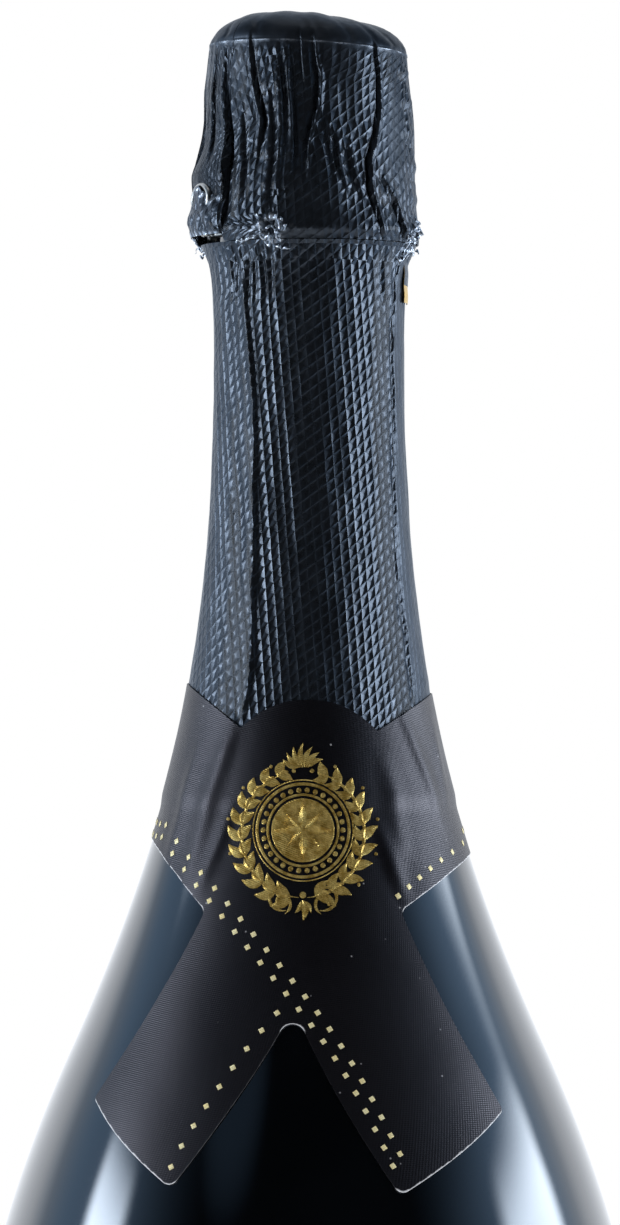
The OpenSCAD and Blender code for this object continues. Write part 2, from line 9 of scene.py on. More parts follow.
import bpy
import numpy as np
from mathutils.geometry import delaunay_2d_cdt
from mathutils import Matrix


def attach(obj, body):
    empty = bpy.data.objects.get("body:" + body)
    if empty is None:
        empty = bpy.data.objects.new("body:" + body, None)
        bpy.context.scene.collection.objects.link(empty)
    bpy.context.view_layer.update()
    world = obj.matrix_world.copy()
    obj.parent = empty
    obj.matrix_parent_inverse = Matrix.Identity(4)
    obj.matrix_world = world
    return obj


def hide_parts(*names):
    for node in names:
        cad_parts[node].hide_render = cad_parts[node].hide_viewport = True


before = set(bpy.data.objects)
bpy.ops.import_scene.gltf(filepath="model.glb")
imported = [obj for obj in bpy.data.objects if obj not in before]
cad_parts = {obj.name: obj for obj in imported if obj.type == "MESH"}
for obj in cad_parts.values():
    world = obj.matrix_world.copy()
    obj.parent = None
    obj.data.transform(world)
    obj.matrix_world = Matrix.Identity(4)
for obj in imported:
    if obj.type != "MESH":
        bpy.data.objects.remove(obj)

MM = 0.001
LOG = logging.getLogger("bottle")
Rgb = tuple[float, float, float]
Path = tuple[tuple[float, ...], ...]


# Curves and small helpers, all in millimetres and degrees


def smooth(x: np.ndarray | float) -> np.ndarray:
    """Eases from 0 to 1 as x goes from 0 to 1."""
    t = np.clip(x, 0.0, 1.0)
    return t * t * (3.0 - 2.0 * t)


def bell(x: np.ndarray) -> np.ndarray:
    """A soft hump of height 1 at 0."""
    return np.exp(-np.square(x))


def turned_by(angle: np.ndarray) -> np.ndarray:
    """Brings angles into -180 to 180 degrees."""
    return (angle + 180.0) % 360.0 - 180.0


def span(a: Path, steps: int) -> np.ndarray:
    """Points on a cubic curve.

    Args:
        a: its four control points, as (radius, height).
        steps: number of steps along it.

    Returns:
        The points, one row each.
    """
    p = np.array(a, float)
    t = np.linspace(0.0, 1.0, steps + 1)[:, None]
    u = 1.0 - t
    return u**3 * p[0] + 3 * u * u * t * p[1] + 3 * u * t * t * p[2] + t**3 * p[3]


def arc(centre: tuple[float, float], radius: float, start: float, end: float, steps: int) -> np.ndarray:
    """Points on an arc, from one angle to another in degrees."""
    a = np.radians(np.linspace(start, end, steps + 1))
    return np.stack([centre[0] + radius * np.cos(a), centre[1] + radius * np.sin(a)], 1)


def place(bearing: np.ndarray, radius: np.ndarray, height: np.ndarray) -> np.ndarray:
    """Points round the bottle.

    Args:
        bearing: degrees from the front towards the right.
        radius: distance from the axis.
        height: height over the base.

    Returns:
        The points, with x, y and z last.
    """
    b = np.radians(bearing)
    return np.stack(np.broadcast_arrays(radius * np.sin(b), -radius * np.cos(b), height), -1)


# Building pieces


def deselect() -> None:
    """Leaves edit mode with nothing selected."""
    if bpy.context.mode != "OBJECT":
        bpy.ops.object.mode_set(mode="OBJECT")
    bpy.ops.object.select_all(action="DESELECT")


def take(piece: bpy.types.Object) -> None:
    """Selects one piece alone and makes it active."""
    deselect()
    piece.select_set(True)
    bpy.context.view_layer.objects.active = piece


def weld(piece: bpy.types.Object, gap: float = 1e-7, recalculate: bool = False) -> None:
    """Merges doubled points.

    Args:
        piece: the piece to weld.
        gap: points closer than this become one, in metres.
        recalculate: whether to turn all faces outwards as well.
    """
    take(piece)
    bpy.ops.object.mode_set(mode="EDIT")
    bpy.ops.mesh.select_all(action="SELECT")
    bpy.ops.mesh.remove_doubles(threshold=gap)
    if recalculate:
        bpy.ops.mesh.normals_make_consistent(inside=False)
    bpy.ops.object.mode_set(mode="OBJECT")


def shade(piece: bpy.types.Object, angle: float = 35.0) -> None:
    """Shades a piece smooth, apart from edges sharper than angle."""
    take(piece)
    bpy.ops.object.shade_smooth_by_angle(angle=math.radians(angle))


def turned(name: str, outline: np.ndarray, steps: int = 128) -> bpy.types.Object:
    """Turns half an outline round the bottle's axis, as on a lathe.

    Args:
        name: name of the piece.
        outline: closed half outline as (radius, height), starting and ending on the axis or closed.
        steps: number of steps round.

    Returns:
        The piece, closed and smooth.
    """
    deselect()
    bpy.ops.mesh.primitive_plane_add(size=MM, location=(0, 0, 0))
    piece = bpy.context.active_object
    piece.name = name
    bpy.ops.object.mode_set(mode="EDIT")
    bpy.ops.mesh.select_all(action="SELECT")
    bpy.ops.mesh.merge(type="CENTER")
    bpy.ops.transform.translate(value=(outline[0][0] * MM, 0, outline[0][1] * MM))
    for a, b in zip(outline, outline[1:]):
        step = ((b[0] - a[0]) * MM, 0, (b[1] - a[1]) * MM)
        bpy.ops.mesh.extrude_region_move(TRANSFORM_OT_translate={"value": step})
    bpy.ops.mesh.select_all(action="SELECT")
    bpy.ops.mesh.spin(steps=steps, angle=math.tau, center=(0, 0, 0), axis=(0, 0, 1))
    bpy.ops.object.mode_set(mode="OBJECT")
    weld(piece, gap=2e-6, recalculate=True)
    shade(piece)
    return piece


def quads(*corners: np.ndarray) -> np.ndarray:
    """Faces from four arrays of corner numbers."""
    return np.stack(corners, -1).reshape(-1, 4)


@dataclass
class Sheet:
    """A thin sheet as two grids of points, rows up the bottle and columns round it.

    front and back hold the points, lay holds where each front point lies on the flat sheet and how
    deeply it is embossed there, and bare says where the coating is gone and, below zero, where shade is painted on.
    """

    front: np.ndarray
    back: np.ndarray
    lay: np.ndarray
    bare: np.ndarray
    round: bool = True
    pole: bool = False

    def build(self, name: str) -> bpy.types.Object:
        """Makes the sheet's mesh.

        Args:
            name: name of the piece.

        Returns:
            The piece, with the corner attributes lay and bare.
        """
        m, c = self.front.shape[:2]
        k = self.back.shape[0]
        points = np.vstack([self.front.reshape(-1, 3), self.back.reshape(-1, 3)]) * MM
        f = np.arange(m * c).reshape(m, c)
        g = m * c + np.arange(k * c).reshape(k, c)
        faces = [
            quads(f[:-1, :-1], f[:-1, 1:], f[1:, 1:], f[1:, :-1]),
            quads(g[:-1, :-1], g[1:, :-1], g[1:, 1:], g[:-1, 1:]),
            quads(f[0, :-1], g[0, :-1], g[0, 1:], f[0, 1:]),
        ]
        if not self.pole:
            faces.append(quads(f[-1, :-1], f[-1, 1:], g[-1, 1:], g[-1, :-1]))
        if not self.round:
            faces.append(quads(f[:-1, 0], f[1:, 0], g[1:, 0], g[:-1, 0]))
            faces.append(quads(f[:-1, -1], g[:-1, -1], g[1:, -1], f[1:, -1]))
        rows = np.linspace(0, m - 1, k).round().astype(int)
        lay = np.vstack([self.lay.reshape(-1, 3), self.lay[rows].reshape(-1, 3)])
        bare = np.concatenate([self.bare.ravel(), 0.0 * self.bare[rows].ravel()])
        return woven(name, points, np.vstack(faces), lay, bare, self.round or self.pole)


def woven(
    name: str, points: np.ndarray, faces: np.ndarray, lay: np.ndarray, bare: np.ndarray, welded: bool
) -> bpy.types.Object:
    """Makes a mesh piece whose corners carry their place on the flat sheet.

    Args:
        name: name of the piece.
        points: points in metres.
        faces: corner numbers of each face.
        lay: place on the sheet and depth of embossing, for each point.
        bare: share of bare sheet, for each point, below zero where shade is painted on.
        welded: whether doubled points are merged.

    Returns:
        The piece.
    """
    mesh = bpy.data.meshes.new(name)
    mesh.from_pydata(points.tolist(), [], faces.tolist())
    order = np.zeros(len(mesh.loops), np.int32)
    mesh.loops.foreach_get("vertex_index", order)
    mesh.attributes.new("lay", "FLOAT_VECTOR", "CORNER").data.foreach_set("vector", lay[order].ravel())
    mesh.attributes.new("bare", "FLOAT", "CORNER").data.foreach_set("value", bare[order])
    piece = bpy.data.objects.new(name, mesh)
    bpy.context.scene.collection.objects.link(piece)
    if welded:
        weld(piece)
    shade(piece, 50.0)
    return piece


def finish(piece: bpy.types.Object, material: bpy.types.Material, body: str) -> None:
    """Gives a piece its material and its body.

    Args:
        piece: the piece.
        material: what it is made of.
        body: the body it moves with.
    """
    piece.data.materials.clear()
    piece.data.materials.append(material)
    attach(piece, body)
    LOG.info("%s: %d faces", piece.name, len(piece.data.polygons))


# Materials


class Nodes:
    """A material's node tree, with short calls for what the finishes use."""

    def __init__(self, name: str) -> None:
        """Starts a material with a Principled shader."""
        self.material = bpy.data.materials.new(name)
        self.material.use_nodes = True
        self.tree = self.material.node_tree
        self.shader = self.tree.nodes["Principled BSDF"]

    def add(self, kind: str, **settings: object) -> bpy.types.Node:
        """Adds a node and sets its properties."""
        node = self.tree.nodes.new(kind)
        for key, value in settings.items():
            setattr(node, key, value)
        return node

    def feed(self, socket: bpy.types.NodeSocket, value: object) -> None:
        """Links a socket to a socket, or sets it to a number or colour."""
        if isinstance(value, bpy.types.NodeSocket):
            self.tree.links.new(value, socket)
        elif isinstance(value, tuple) and len(value) == 3 and socket.type == "RGBA":
            socket.default_value = (*value, 1.0)
        else:
            socket.default_value = value

    def set(self, **values: object) -> None:
        """Sets sockets of the shader, named with _ for spaces."""
        for key, value in values.items():
            self.feed(self.shader.inputs[key.replace("_", " ").title().replace("Ior", "IOR")], value)

    def math(self, operation: str, *values: object) -> bpy.types.NodeSocket:
        """The result of a Math node."""
        node = self.add("ShaderNodeMath", operation=operation)
        for socket, value in zip(node.inputs, values):
            self.feed(socket, value)
        return node.outputs[0]

    def ease(self, value: object, low: float, high: float, out: float = 0.0, end: float = 1.0) -> bpy.types.NodeSocket:
        """Eases from out to end as value goes from low to high."""
        node = self.add("ShaderNodeMapRange", interpolation_type="SMOOTHSTEP")
        for socket, v in zip(node.inputs, (value, low, high, out, end)):
            self.feed(socket, v)
        return node.outputs[0]

    def mix(self, share: object, a: object, b: object) -> bpy.types.NodeSocket:
        """Mixes two colours."""
        node = self.add("ShaderNodeMix", data_type="RGBA")
        for index, value in ((0, share), (6, a), (7, b)):
            self.feed(node.inputs[index], value)
        return node.outputs[2]

    def place(self, stretch: tuple[float, float, float] = (1000.0, 1000.0, 1000.0)) -> bpy.types.NodeSocket:
        """Object coordinates in millimetres, stretched as told."""
        where = self.add("ShaderNodeTexCoord").outputs["Object"]
        node = self.add("ShaderNodeMapping")
        node.inputs["Scale"].default_value = stretch
        self.feed(node.inputs["Vector"], where)
        return node.outputs[0]

    def noise(self, where: object, scale: float, detail: float = 2.0, roughness: float = 0.5) -> bpy.types.NodeSocket:
        """A noise texture's value."""
        node = self.add("ShaderNodeTexNoise")
        self.feed(node.inputs["Vector"], where)
        for key, value in (("Scale", scale), ("Detail", detail), ("Roughness", roughness)):
            node.inputs[key].default_value = value
        return node.outputs["Fac"]

    def cells(self, where: object, scale: float, feature: str = "F1") -> bpy.types.Node:
        """A Voronoi texture."""
        node = self.add("ShaderNodeTexVoronoi", feature=feature)
        self.feed(node.inputs["Vector"], where)
        node.inputs["Scale"].default_value = scale
        return node

    def bump(self, height: object, distance: float, strength: float = 1.0, under: object = None) -> bpy.types.NodeSocket:
        """A bump normal, with its height in millimetres."""
        node = self.add("ShaderNodeBump")
        for key, value in (("Height", height), ("Distance", distance * MM), ("Strength", strength)):
            self.feed(node.inputs[key], value)
        if under is not None:
            self.feed(node.inputs["Normal"], under)
        return node.outputs[0]

    def lay(self) -> list[bpy.types.NodeSocket]:
        """Place across and along the flat sheet in millimetres, and depth of embossing."""
        node = self.add("ShaderNodeAttribute", attribute_name="lay")
        parts = self.add("ShaderNodeSeparateXYZ")
        self.feed(parts.inputs[0], node.outputs["Vector"])
        return list(parts.outputs)

    def bare(self) -> bpy.types.NodeSocket:
        """Share of bare sheet; below zero it marks painted shade, and on the label the pale cut edge with its painted
        highlight.
        """
        return self.add("ShaderNodeAttribute", attribute_name="bare").outputs["Fac"]


@dataclass(frozen=True)
class BottleGlass:
    """Very dark bottle glass with a polished skin."""

    colour: Rgb = (0.0010, 0.0013, 0.0017)
    tint: Rgb = (0.72, 0.84, 1.0)
    roughness: float = 0.085

    def material(self) -> bpy.types.Material:
        """Returns the material."""
        n = Nodes("bottle_glass")
        where = n.place()
        ripple = n.noise(where, 0.05, 1.0)
        grain = n.noise(where, 2.2, 2.0)
        n.set(base_color=n.mix(n.ease(ripple, 0.3, 0.7), self.colour, tuple(1.6 * c for c in self.colour)))
        n.set(roughness=n.ease(grain, 0.35, 0.7, self.roughness, self.roughness * 1.35), ior=1.62)
        n.set(specular_tint=self.tint, coat_weight=1.0, coat_roughness=0.05, coat_ior=1.5)
        n.set(transmission_weight=0.08)
        skin = n.bump(grain, 0.012, 0.25, n.bump(ripple, 0.3, 0.25))
        n.set(normal=skin, coat_normal=n.bump(ripple, 0.3, 0.2))
        return n.material


@dataclass(frozen=True)
class EmbossedFoil:
    """Slate-blue lacquered foil, embossed with steep ridges and slanting ones across them."""

    name: str = "embossed_foil"
    dark: Rgb = (0.052, 0.060, 0.073)
    light: Rgb = (0.115, 0.135, 0.162)
    metal: Rgb = (0.72, 0.78, 0.88)
    rim: Rgb = (0.62, 0.68, 0.76)
    steep_pitch: float = 1.47
    slant_pitch: float = 1.95
    steep_lean: float = 0.085
    slant_rise: float = 0.75
    depth: float = 0.2

    def material(self) -> bpy.types.Material:
        """Returns the material."""
        n = Nodes(self.name)
        u, v, emboss = n.lay()
        where = n.place()
        stray = n.math("MULTIPLY", n.math("SUBTRACT", n.noise(where, 0.3, 1.0), 0.5), 0.22)
        steep = n.math("DIVIDE", n.math("ADD", n.math("ADD", u, stray), n.math("MULTIPLY", v, self.steep_lean)), self.steep_pitch)
        slant = n.math("DIVIDE", n.math("ADD", n.math("SUBTRACT", v, n.math("MULTIPLY", u, self.slant_rise)), stray), self.slant_pitch)
        cup_a = n.math("POWER", n.math("MULTIPLY_ADD", n.math("PINGPONG", steep, 0.5), -2.0, 1.0), 1.5)
        cup_b = n.math("POWER", n.math("MULTIPLY_ADD", n.math("PINGPONG", slant, 0.5), -2.0, 1.0), 2.1)
        ridge = n.math("MULTIPLY", n.math("MAXIMUM", n.math("MULTIPLY", cup_a, 0.95), cup_b), emboss)
        patches = n.ease(n.noise(where, 0.16, 3.0, 0.6), 0.38, 0.66)
        # Ridge tops are lightened: rub wear together with a painted highlight on the ridges.
        worn = n.math("MULTIPLY", n.ease(ridge, 0.62, 1.0), n.ease(n.noise(where, 0.7, 3.0, 0.7), 0.35, 0.65, 0.1, 0.75))
        bare = n.math("MULTIPLY", n.bare(), n.ease(n.noise(where, 2.4, 3.0, 0.7), 0.34, 0.5))
        tone = n.mix(worn, n.mix(patches, self.dark, tuple(1.3 * c for c in self.dark)), self.light)
        # Painted shade: where bare falls below zero the tone is darkened towards nearly black.
        tone = n.mix(n.ease(n.bare(), -1.0, 0.0, 0.85, 0.0), tone, tuple(0.12 * c for c in self.dark))
        n.set(base_color=n.mix(bare, tone, self.metal), metallic=0.9, specular_tint=self.rim, specular_ior_level=0.35)
        sheen = n.ease(n.noise(where, 0.9, 3.0), 0.3, 0.7, 0.26, 0.37)
        n.set(roughness=n.math("ADD", sheen, n.math("MULTIPLY_ADD", emboss, -0.14, 0.14)))
        n.set(coat_weight=0.12, coat_roughness=0.12)
        fine = n.bump(n.noise(where, 1.3, 3.0), 0.035, 0.5)
        n.set(normal=n.bump(ridge, self.depth, 1.0, fine))
        return n.material


@dataclass(frozen=True)
class LabelPaper:
    """Near-black ribbed paper with a pale cut edge, lighter on its lower edges as a painted highlight, and a little
    dust.
    """

    warm: Rgb = (0.0024, 0.0020, 0.0028)
    cool: Rgb = (0.0045, 0.0036, 0.0052)
    edge: Rgb = (0.78, 0.78, 0.8)
    rib_pitch: float = 0.31

    def material(self) -> bpy.types.Material:
        """Returns the material."""
        n = Nodes("ribbed_label_paper")
        u, v, _ = n.lay()
        where = n.place()
        across = n.math("PINGPONG", n.math("DIVIDE", n.math("ADD", v, n.math("MULTIPLY", u, 0.16)), self.rib_pitch), 0.5)
        along = n.math("PINGPONG", n.math("DIVIDE", n.math("SUBTRACT", u, n.math("MULTIPLY", v, 0.16)), self.rib_pitch), 0.5)
        weave = n.math("ADD", n.ease(across, 0.08, 0.42), n.math("MULTIPLY", n.ease(along, 0.08, 0.42), 0.6))
        tone = n.mix(n.noise(where, 0.12, 3.0, 0.6), self.warm, self.cool)
        # Painted shade: the grooves of the weave are darker.
        tone = n.mix(n.ease(weave, 0.3, 1.5), tuple(0.72 * c for c in self.warm), tone)
        specks = n.cells(where, 0.42)
        dust = n.math("MULTIPLY", n.ease(specks.outputs["Distance"], 0.035, 0.1, 1.0, 0.0), n.ease(n.noise(where, 0.21), 0.52, 0.62))
        # Pale cut edge, brightest on the lower edges as a painted highlight.
        cut = n.ease(n.bare(), 0.66, 0.98)
        tone = n.mix(n.math("MULTIPLY", dust, 0.6), tone, (0.5, 0.5, 0.52))
        n.set(base_color=n.mix(cut, tone, self.edge), roughness=n.ease(weave, 0.0, 1.6, 0.44, 0.31))
        n.set(specular_ior_level=0.68, specular_tint=(0.96, 0.9, 1.0))
        n.set(normal=n.bump(weave, 0.035, 0.55, n.bump(n.noise(where, 0.5, 2.0), 0.1, 0.3)))
        return n.material


@dataclass(frozen=True)
class GoldLeaf:
    """Stamped gold leaf with fine engraved lines."""

    name: str = "gold_leaf"
    bright: Rgb = (1.0, 0.74, 0.24)
    deep: Rgb = (0.50, 0.31, 0.06)
    engraving: float = 0.34
    roughness: float = 0.27
    metallic: float = 0.8

    def material(self) -> bpy.types.Material:
        """Returns the material."""
        n = Nodes(self.name)
        where = n.place()
        tilt = n.add("ShaderNodeSeparateXYZ")
        n.feed(tilt.inputs[0], where)
        line = n.math("PINGPONG", n.math("DIVIDE", n.math("ADD", tilt.outputs[2], n.math("MULTIPLY", tilt.outputs[0], 0.4)), self.engraving), 0.5)
        patches = n.noise(where, 0.8, 3.0, 0.6)
        n.set(base_color=n.mix(n.ease(patches, 0.3, 0.7), self.deep, self.bright), metallic=self.metallic)
        n.set(roughness=n.ease(patches, 0.2, 0.8, self.roughness + 0.12, self.roughness))
        n.set(normal=n.bump(n.ease(line, 0.1, 0.4), 0.1, 1.0, n.bump(patches, 0.12, 0.7)))
        return n.material


@dataclass(frozen=True)
class CorkMeal:
    """Cork: granules pressed together, or one natural piece with pores."""

    name: str
    pale: Rgb
    dark: Rgb
    grain: float

    def material(self) -> bpy.types.Material:
        """Returns the material."""
        n = Nodes(self.name)
        where = n.place()
        grains = n.cells(where, self.grain)
        tone = n.math("FRACT", n.math("MULTIPLY", grains.outputs["Distance"], 7.3))
        pores = n.ease(n.noise(where, self.grain * 1.7, 4.0, 0.65), 0.6, 0.68)
        base = n.mix(n.ease(n.noise(where, self.grain * 0.6, 3.0), 0.3, 0.7), self.pale, self.dark)
        base = n.mix(n.math("MULTIPLY", tone, 0.3), base, tuple(1.15 * c for c in self.pale))
        n.set(base_color=n.mix(pores, base, tuple(0.35 * c for c in self.dark)), roughness=0.85)
        n.set(normal=n.bump(n.math("SUBTRACT", grains.outputs["Distance"], pores), 0.12, 0.6))
        return n.material


@dataclass(frozen=True)
class PlainMetal:
    """Wire or tin plate: bright metal with fine marks."""

    name: str
    colour: Rgb
    roughness: float
    stretch: tuple[float, float, float] = (1000.0, 1000.0, 1000.0)

    def material(self) -> bpy.types.Material:
        """Returns the material."""
        n = Nodes(self.name)
        where = n.place(self.stretch)
        marks = n.noise(where, 1.1, 4.0, 0.6)
        n.set(base_color=n.mix(n.ease(marks, 0.3, 0.7), self.colour, tuple(0.72 * c for c in self.colour)))
        n.set(metallic=1.0, roughness=n.ease(marks, 0.25, 0.75, self.roughness, self.roughness + 0.16))
        n.set(normal=n.bump(marks, 0.03, 0.5))
        return n.material


@dataclass(frozen=True)
class Lacquer:
    """Gold lacquer on the foil's inner side."""

    name: str
    colour: Rgb
    metallic: float
    roughness: float

    def material(self) -> bpy.types.Material:
        """Returns the material."""
        n = Nodes(self.name)
        where = n.place()
        cloud = n.noise(where, 0.25, 4.0, 0.6)
        n.set(base_color=n.mix(n.ease(cloud, 0.3, 0.7), self.colour, tuple(1.5 * c for c in self.colour)))
        n.set(metallic=self.metallic, roughness=n.ease(n.noise(where, 1.5, 3.0), 0.3, 0.7, self.roughness, self.roughness + 0.14))
        n.set(normal=n.bump(n.noise(where, 0.7, 3.0), 0.12, 0.5))
        return n.material


class Finish(Enum):
    """The finishes of the whole bottle."""

    GLASS = BottleGlass()
    FOIL = EmbossedFoil()
    LABEL = LabelPaper()
    GOLD = GoldLeaf()
    BRIGHT_GOLD = GoldLeaf("gold_leaf_pale", (1.0, 0.92, 0.56), (0.97, 0.82, 0.4), 0.32, 0.36, 0.3)
    TORN = PlainMetal("torn_foil", (0.80, 0.86, 0.95), 0.28)
    BACKING = Lacquer("gold_lacquer", (0.50, 0.33, 0.10), 0.45, 0.34)
    AGGLOMERATE = CorkMeal("cork_agglomerate", (0.50, 0.31, 0.15), (0.33, 0.18, 0.08), 0.9)
    NATURAL = CorkMeal("cork_natural", (0.62, 0.42, 0.22), (0.46, 0.28, 0.13), 0.45)
    TINPLATE = PlainMetal("tinplate", (0.62, 0.63, 0.66), 0.24)
    WIRE = PlainMetal("galvanised_wire", (0.66, 0.65, 0.62), 0.32)

    def made(self) -> bpy.types.Material:
        """The finish's material, made once."""
        if self.name not in MADE:
            MADE[self.name] = self.value.material()
        return MADE[self.name]


MADE: dict[str, bpy.types.Material] = {}


# Foil relief


@dataclass(frozen=True)
class Pleat:
    """A fold that runs up the foil.

    path holds (height, bearing, depth) from the top down, left and right are the widths of its
    flanks in degrees, lip is how high the foil stands up beside its steeper flank, and over is how far
    that lip leans over the groove.
    """

    path: Path
    left: float = 2.0
    right: float = 2.0
    lip: float = 0.0
    over: float = 1.1

    def at(self, bearing: np.ndarray, height: np.ndarray) -> np.ndarray:
        """How far the fold moves the foil outwards there."""
        z, b, d = np.array(sorted(self.path), float).T
        x = turned_by(bearing - np.interp(height, z, b))
        depth = np.interp(height, z, d, left=0.0, right=0.0)
        narrow = min(self.left, self.right)
        side = 1.0 if self.right < self.left else -1.0
        groove = bell(x / np.where(x < 0, self.left, self.right))
        return depth * (self.lip * bell((x - side * 2.0 * narrow) / (1.3 * narrow)) - groove)

    def slide(self, bearing: np.ndarray, height: np.ndarray) -> np.ndarray:
        """How far the fold's lip leans over its groove there, in degrees."""
        z, b, d = np.array(sorted(self.path), float).T
        x = turned_by(bearing - np.interp(height, z, b))
        depth = np.interp(height, z, d, left=0.0, right=0.0)
        narrow = min(self.left, self.right)
        side = 1.0 if self.right < self.left else -1.0
        return -side * self.over * narrow * np.clip(depth, 0, 1.2) * bell((x - side * 1.3 * narrow) / (1.1 * narrow))


@dataclass(frozen=True)
class Crumple:
    """Soft random waves in foil that was smoothed on by hand."""

    seed: int
    height: float
    turns: int
    along: float
    waves: int = 18

    def at(self, bearing: np.ndarray, height: np.ndarray) -> np.ndarray:
        """How far the waves move the foil outwards there."""
        rng = np.random.default_rng(self.seed)
        total = np.zeros(np.broadcast(bearing, height).shape)
        for _ in range(self.waves):
            k = int(rng.integers(-self.turns, self.turns + 1))
            total += np.sin(k * np.radians(bearing) + height * rng.normal() * math.tau / self.along + rng.uniform(0, math.tau))
        return self.height * total / math.sqrt(self.waves)


LEGS = (-20.0, 70.0, 160.0, -110.0)


def knots(bearing: np.ndarray, height: np.ndarray, radius: float, level: float) -> tuple[np.ndarray, np.ndarray]:
    """Where the hooks of the wire push through the foil.

    Args:
        bearing: bearings of the points.
        height: heights of the points.
        radius: radius of the foil there.
        level: height of the hooks.

    Returns:
        How far the foil moves outwards, and the share of bare metal.
    """
    out = np.zeros(np.broadcast(bearing, height).shape)
    bare = np.zeros_like(out)
    for number, leg in enumerate(LEGS):
        x = turned_by(bearing - leg) * math.radians(1.0) * radius - 0.4
        y = height - level
        away, way = np.hypot(x * 0.85, y * 0.9), np.arctan2(y, x)
        star = 1.0 + 0.45 * np.sin(5 * way + number) + 0.35 * np.sin(9 * way + 2) + 0.2 * np.sin(17 * way)
        out += 0.55 * star * bell((away - 1.5) / 0.5) - 1.0 * bell((away + 0.15 * star) / 0.95)
        bare += np.clip(star - 0.35, 0, 1.6) * bell((away - 1.45) / 0.42) + 0.8 * bell((y - 0.35 * np.sin(x * 2.2)) / 0.16) * bell(x / 3.0)
    return out, np.clip(bare, 0, 1)


# Sub-assemblies


@dataclass
class GlassBottle:
    """The glass: heel, body, shoulder, neck, ring, lip, hollow and punt."""

    height: float = 370.0
    body_r: float = 57.25
    wall_top: float = 150.0
    shoulder_z: float = 219.0
    shoulder_r: float = 39.5
    slope: float = 24.4
    neck_r: float = 15.55
    neck_z: float = 335.0
    body_wall: float = 5.6
    neck_wall: float = 4.6
    heel_r: float = 9.0
    bearing_inner: float = 44.25
    punt: float = 38.0
    punt_glass: float = 7.5
    bore_r: float = 9.0
    bore_low: float = 344.0
    lip_r: float = 14.3
    ring_r: float = 16.6
    ring_low: float = 355.8
    ring_top: float = 362.0

    def side(self, steps: int = 48) -> np.ndarray:
        """The outside from the upright wall to the neck.

        Args:
            steps: steps in each of its two curves.

        Returns:
            Points as (radius, height).
        """
        way = np.array([math.sin(math.radians(self.slope)), -math.cos(math.radians(self.slope))])
        turn = np.array([self.shoulder_r, self.shoulder_z])
        low, high = self.shoulder_z - self.wall_top, self.neck_z - self.shoulder_z
        full = span(((self.body_r, self.wall_top), (self.body_r, self.wall_top + 0.26 * low), tuple(turn + 0.435 * low * way), tuple(turn)), steps)
        hollow = span((tuple(turn), tuple(turn - 0.39 * high * way), (self.neck_r, self.neck_z - 0.38 * high), (self.neck_r, self.neck_z)), steps)
        return np.vstack([full, hollow[1:]])

    def radius(self, height: np.ndarray | float) -> np.ndarray:
        """Outside radius at a height above the heel."""
        line = self.side()
        return np.interp(height, line[:, 1], line[:, 0])

    def wall(self, height: np.ndarray) -> np.ndarray:
        """Thickness of the glass at a height."""
        share = smooth((height - self.shoulder_z) / (self.neck_z - self.shoulder_z))
        return self.body_wall + (self.neck_wall - self.body_wall) * share

    def outline(self) -> np.ndarray:
        """The closed half outline, from the punt's middle outwards and back to the axis."""
        trough_r, trough_z = self.bearing_inner + 2.0, 1.8 * self.body_wall
        inner_r, floor = self.body_r - self.body_wall, self.punt + self.punt_glass
        side = self.side()
        inside = np.array([(r - self.wall(z), z) for r, z in side[::-1] if z < self.neck_z - 1.0])
        return np.vstack([
            span(((0, self.punt), (0.6 * self.bearing_inner, self.punt), (0.9 * self.bearing_inner, 0.3 * self.punt), (self.bearing_inner, 0)), 28),
            arc((self.body_r - self.heel_r, self.heel_r), self.heel_r, -90, 0, 14),
            side,
            [(self.neck_r, self.ring_low - 0.5), (self.neck_r + 0.15, self.ring_low - 0.1)],
            arc((self.ring_r - 1.0, self.ring_low + 1.0), 1.0, -90, 0, 8),
            arc((self.ring_r - 1.0, self.ring_top - 1.0), 1.0, 0, 90, 8),
            [(self.lip_r - 0.7, self.ring_top + 0.8), (self.lip_r - 0.7, self.height - 6.4)],
            arc((self.lip_r - 0.8, self.height - 5.2), 0.8, -90, 0, 6),
            arc((self.lip_r - 1.6, self.height - 1.6), 1.6, 0, 90, 10),
            arc((self.bore_r + 1.0, self.height - 1.0), 1.0, 90, 180, 8),
            [(self.bore_r, self.bore_low), (self.neck_r - self.neck_wall, self.neck_z)],
            inside,
            span(((inner_r, trough_z + 8), (inner_r, trough_z + 3), (inner_r - 3, trough_z), (trough_r, trough_z)), 10),
            span(((trough_r, trough_z), (trough_r - 6, trough_z), (0.66 * trough_r, floor), (0, floor)), 28)[1:],
        ])

    def build(self) -> None:
        """Turns the glass and dresses it."""
        piece = turned("bottle_glass", self.outline(), 144)
        finish(piece, Finish.GLASS.made(), "bottle")
        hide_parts("glass_bottle")


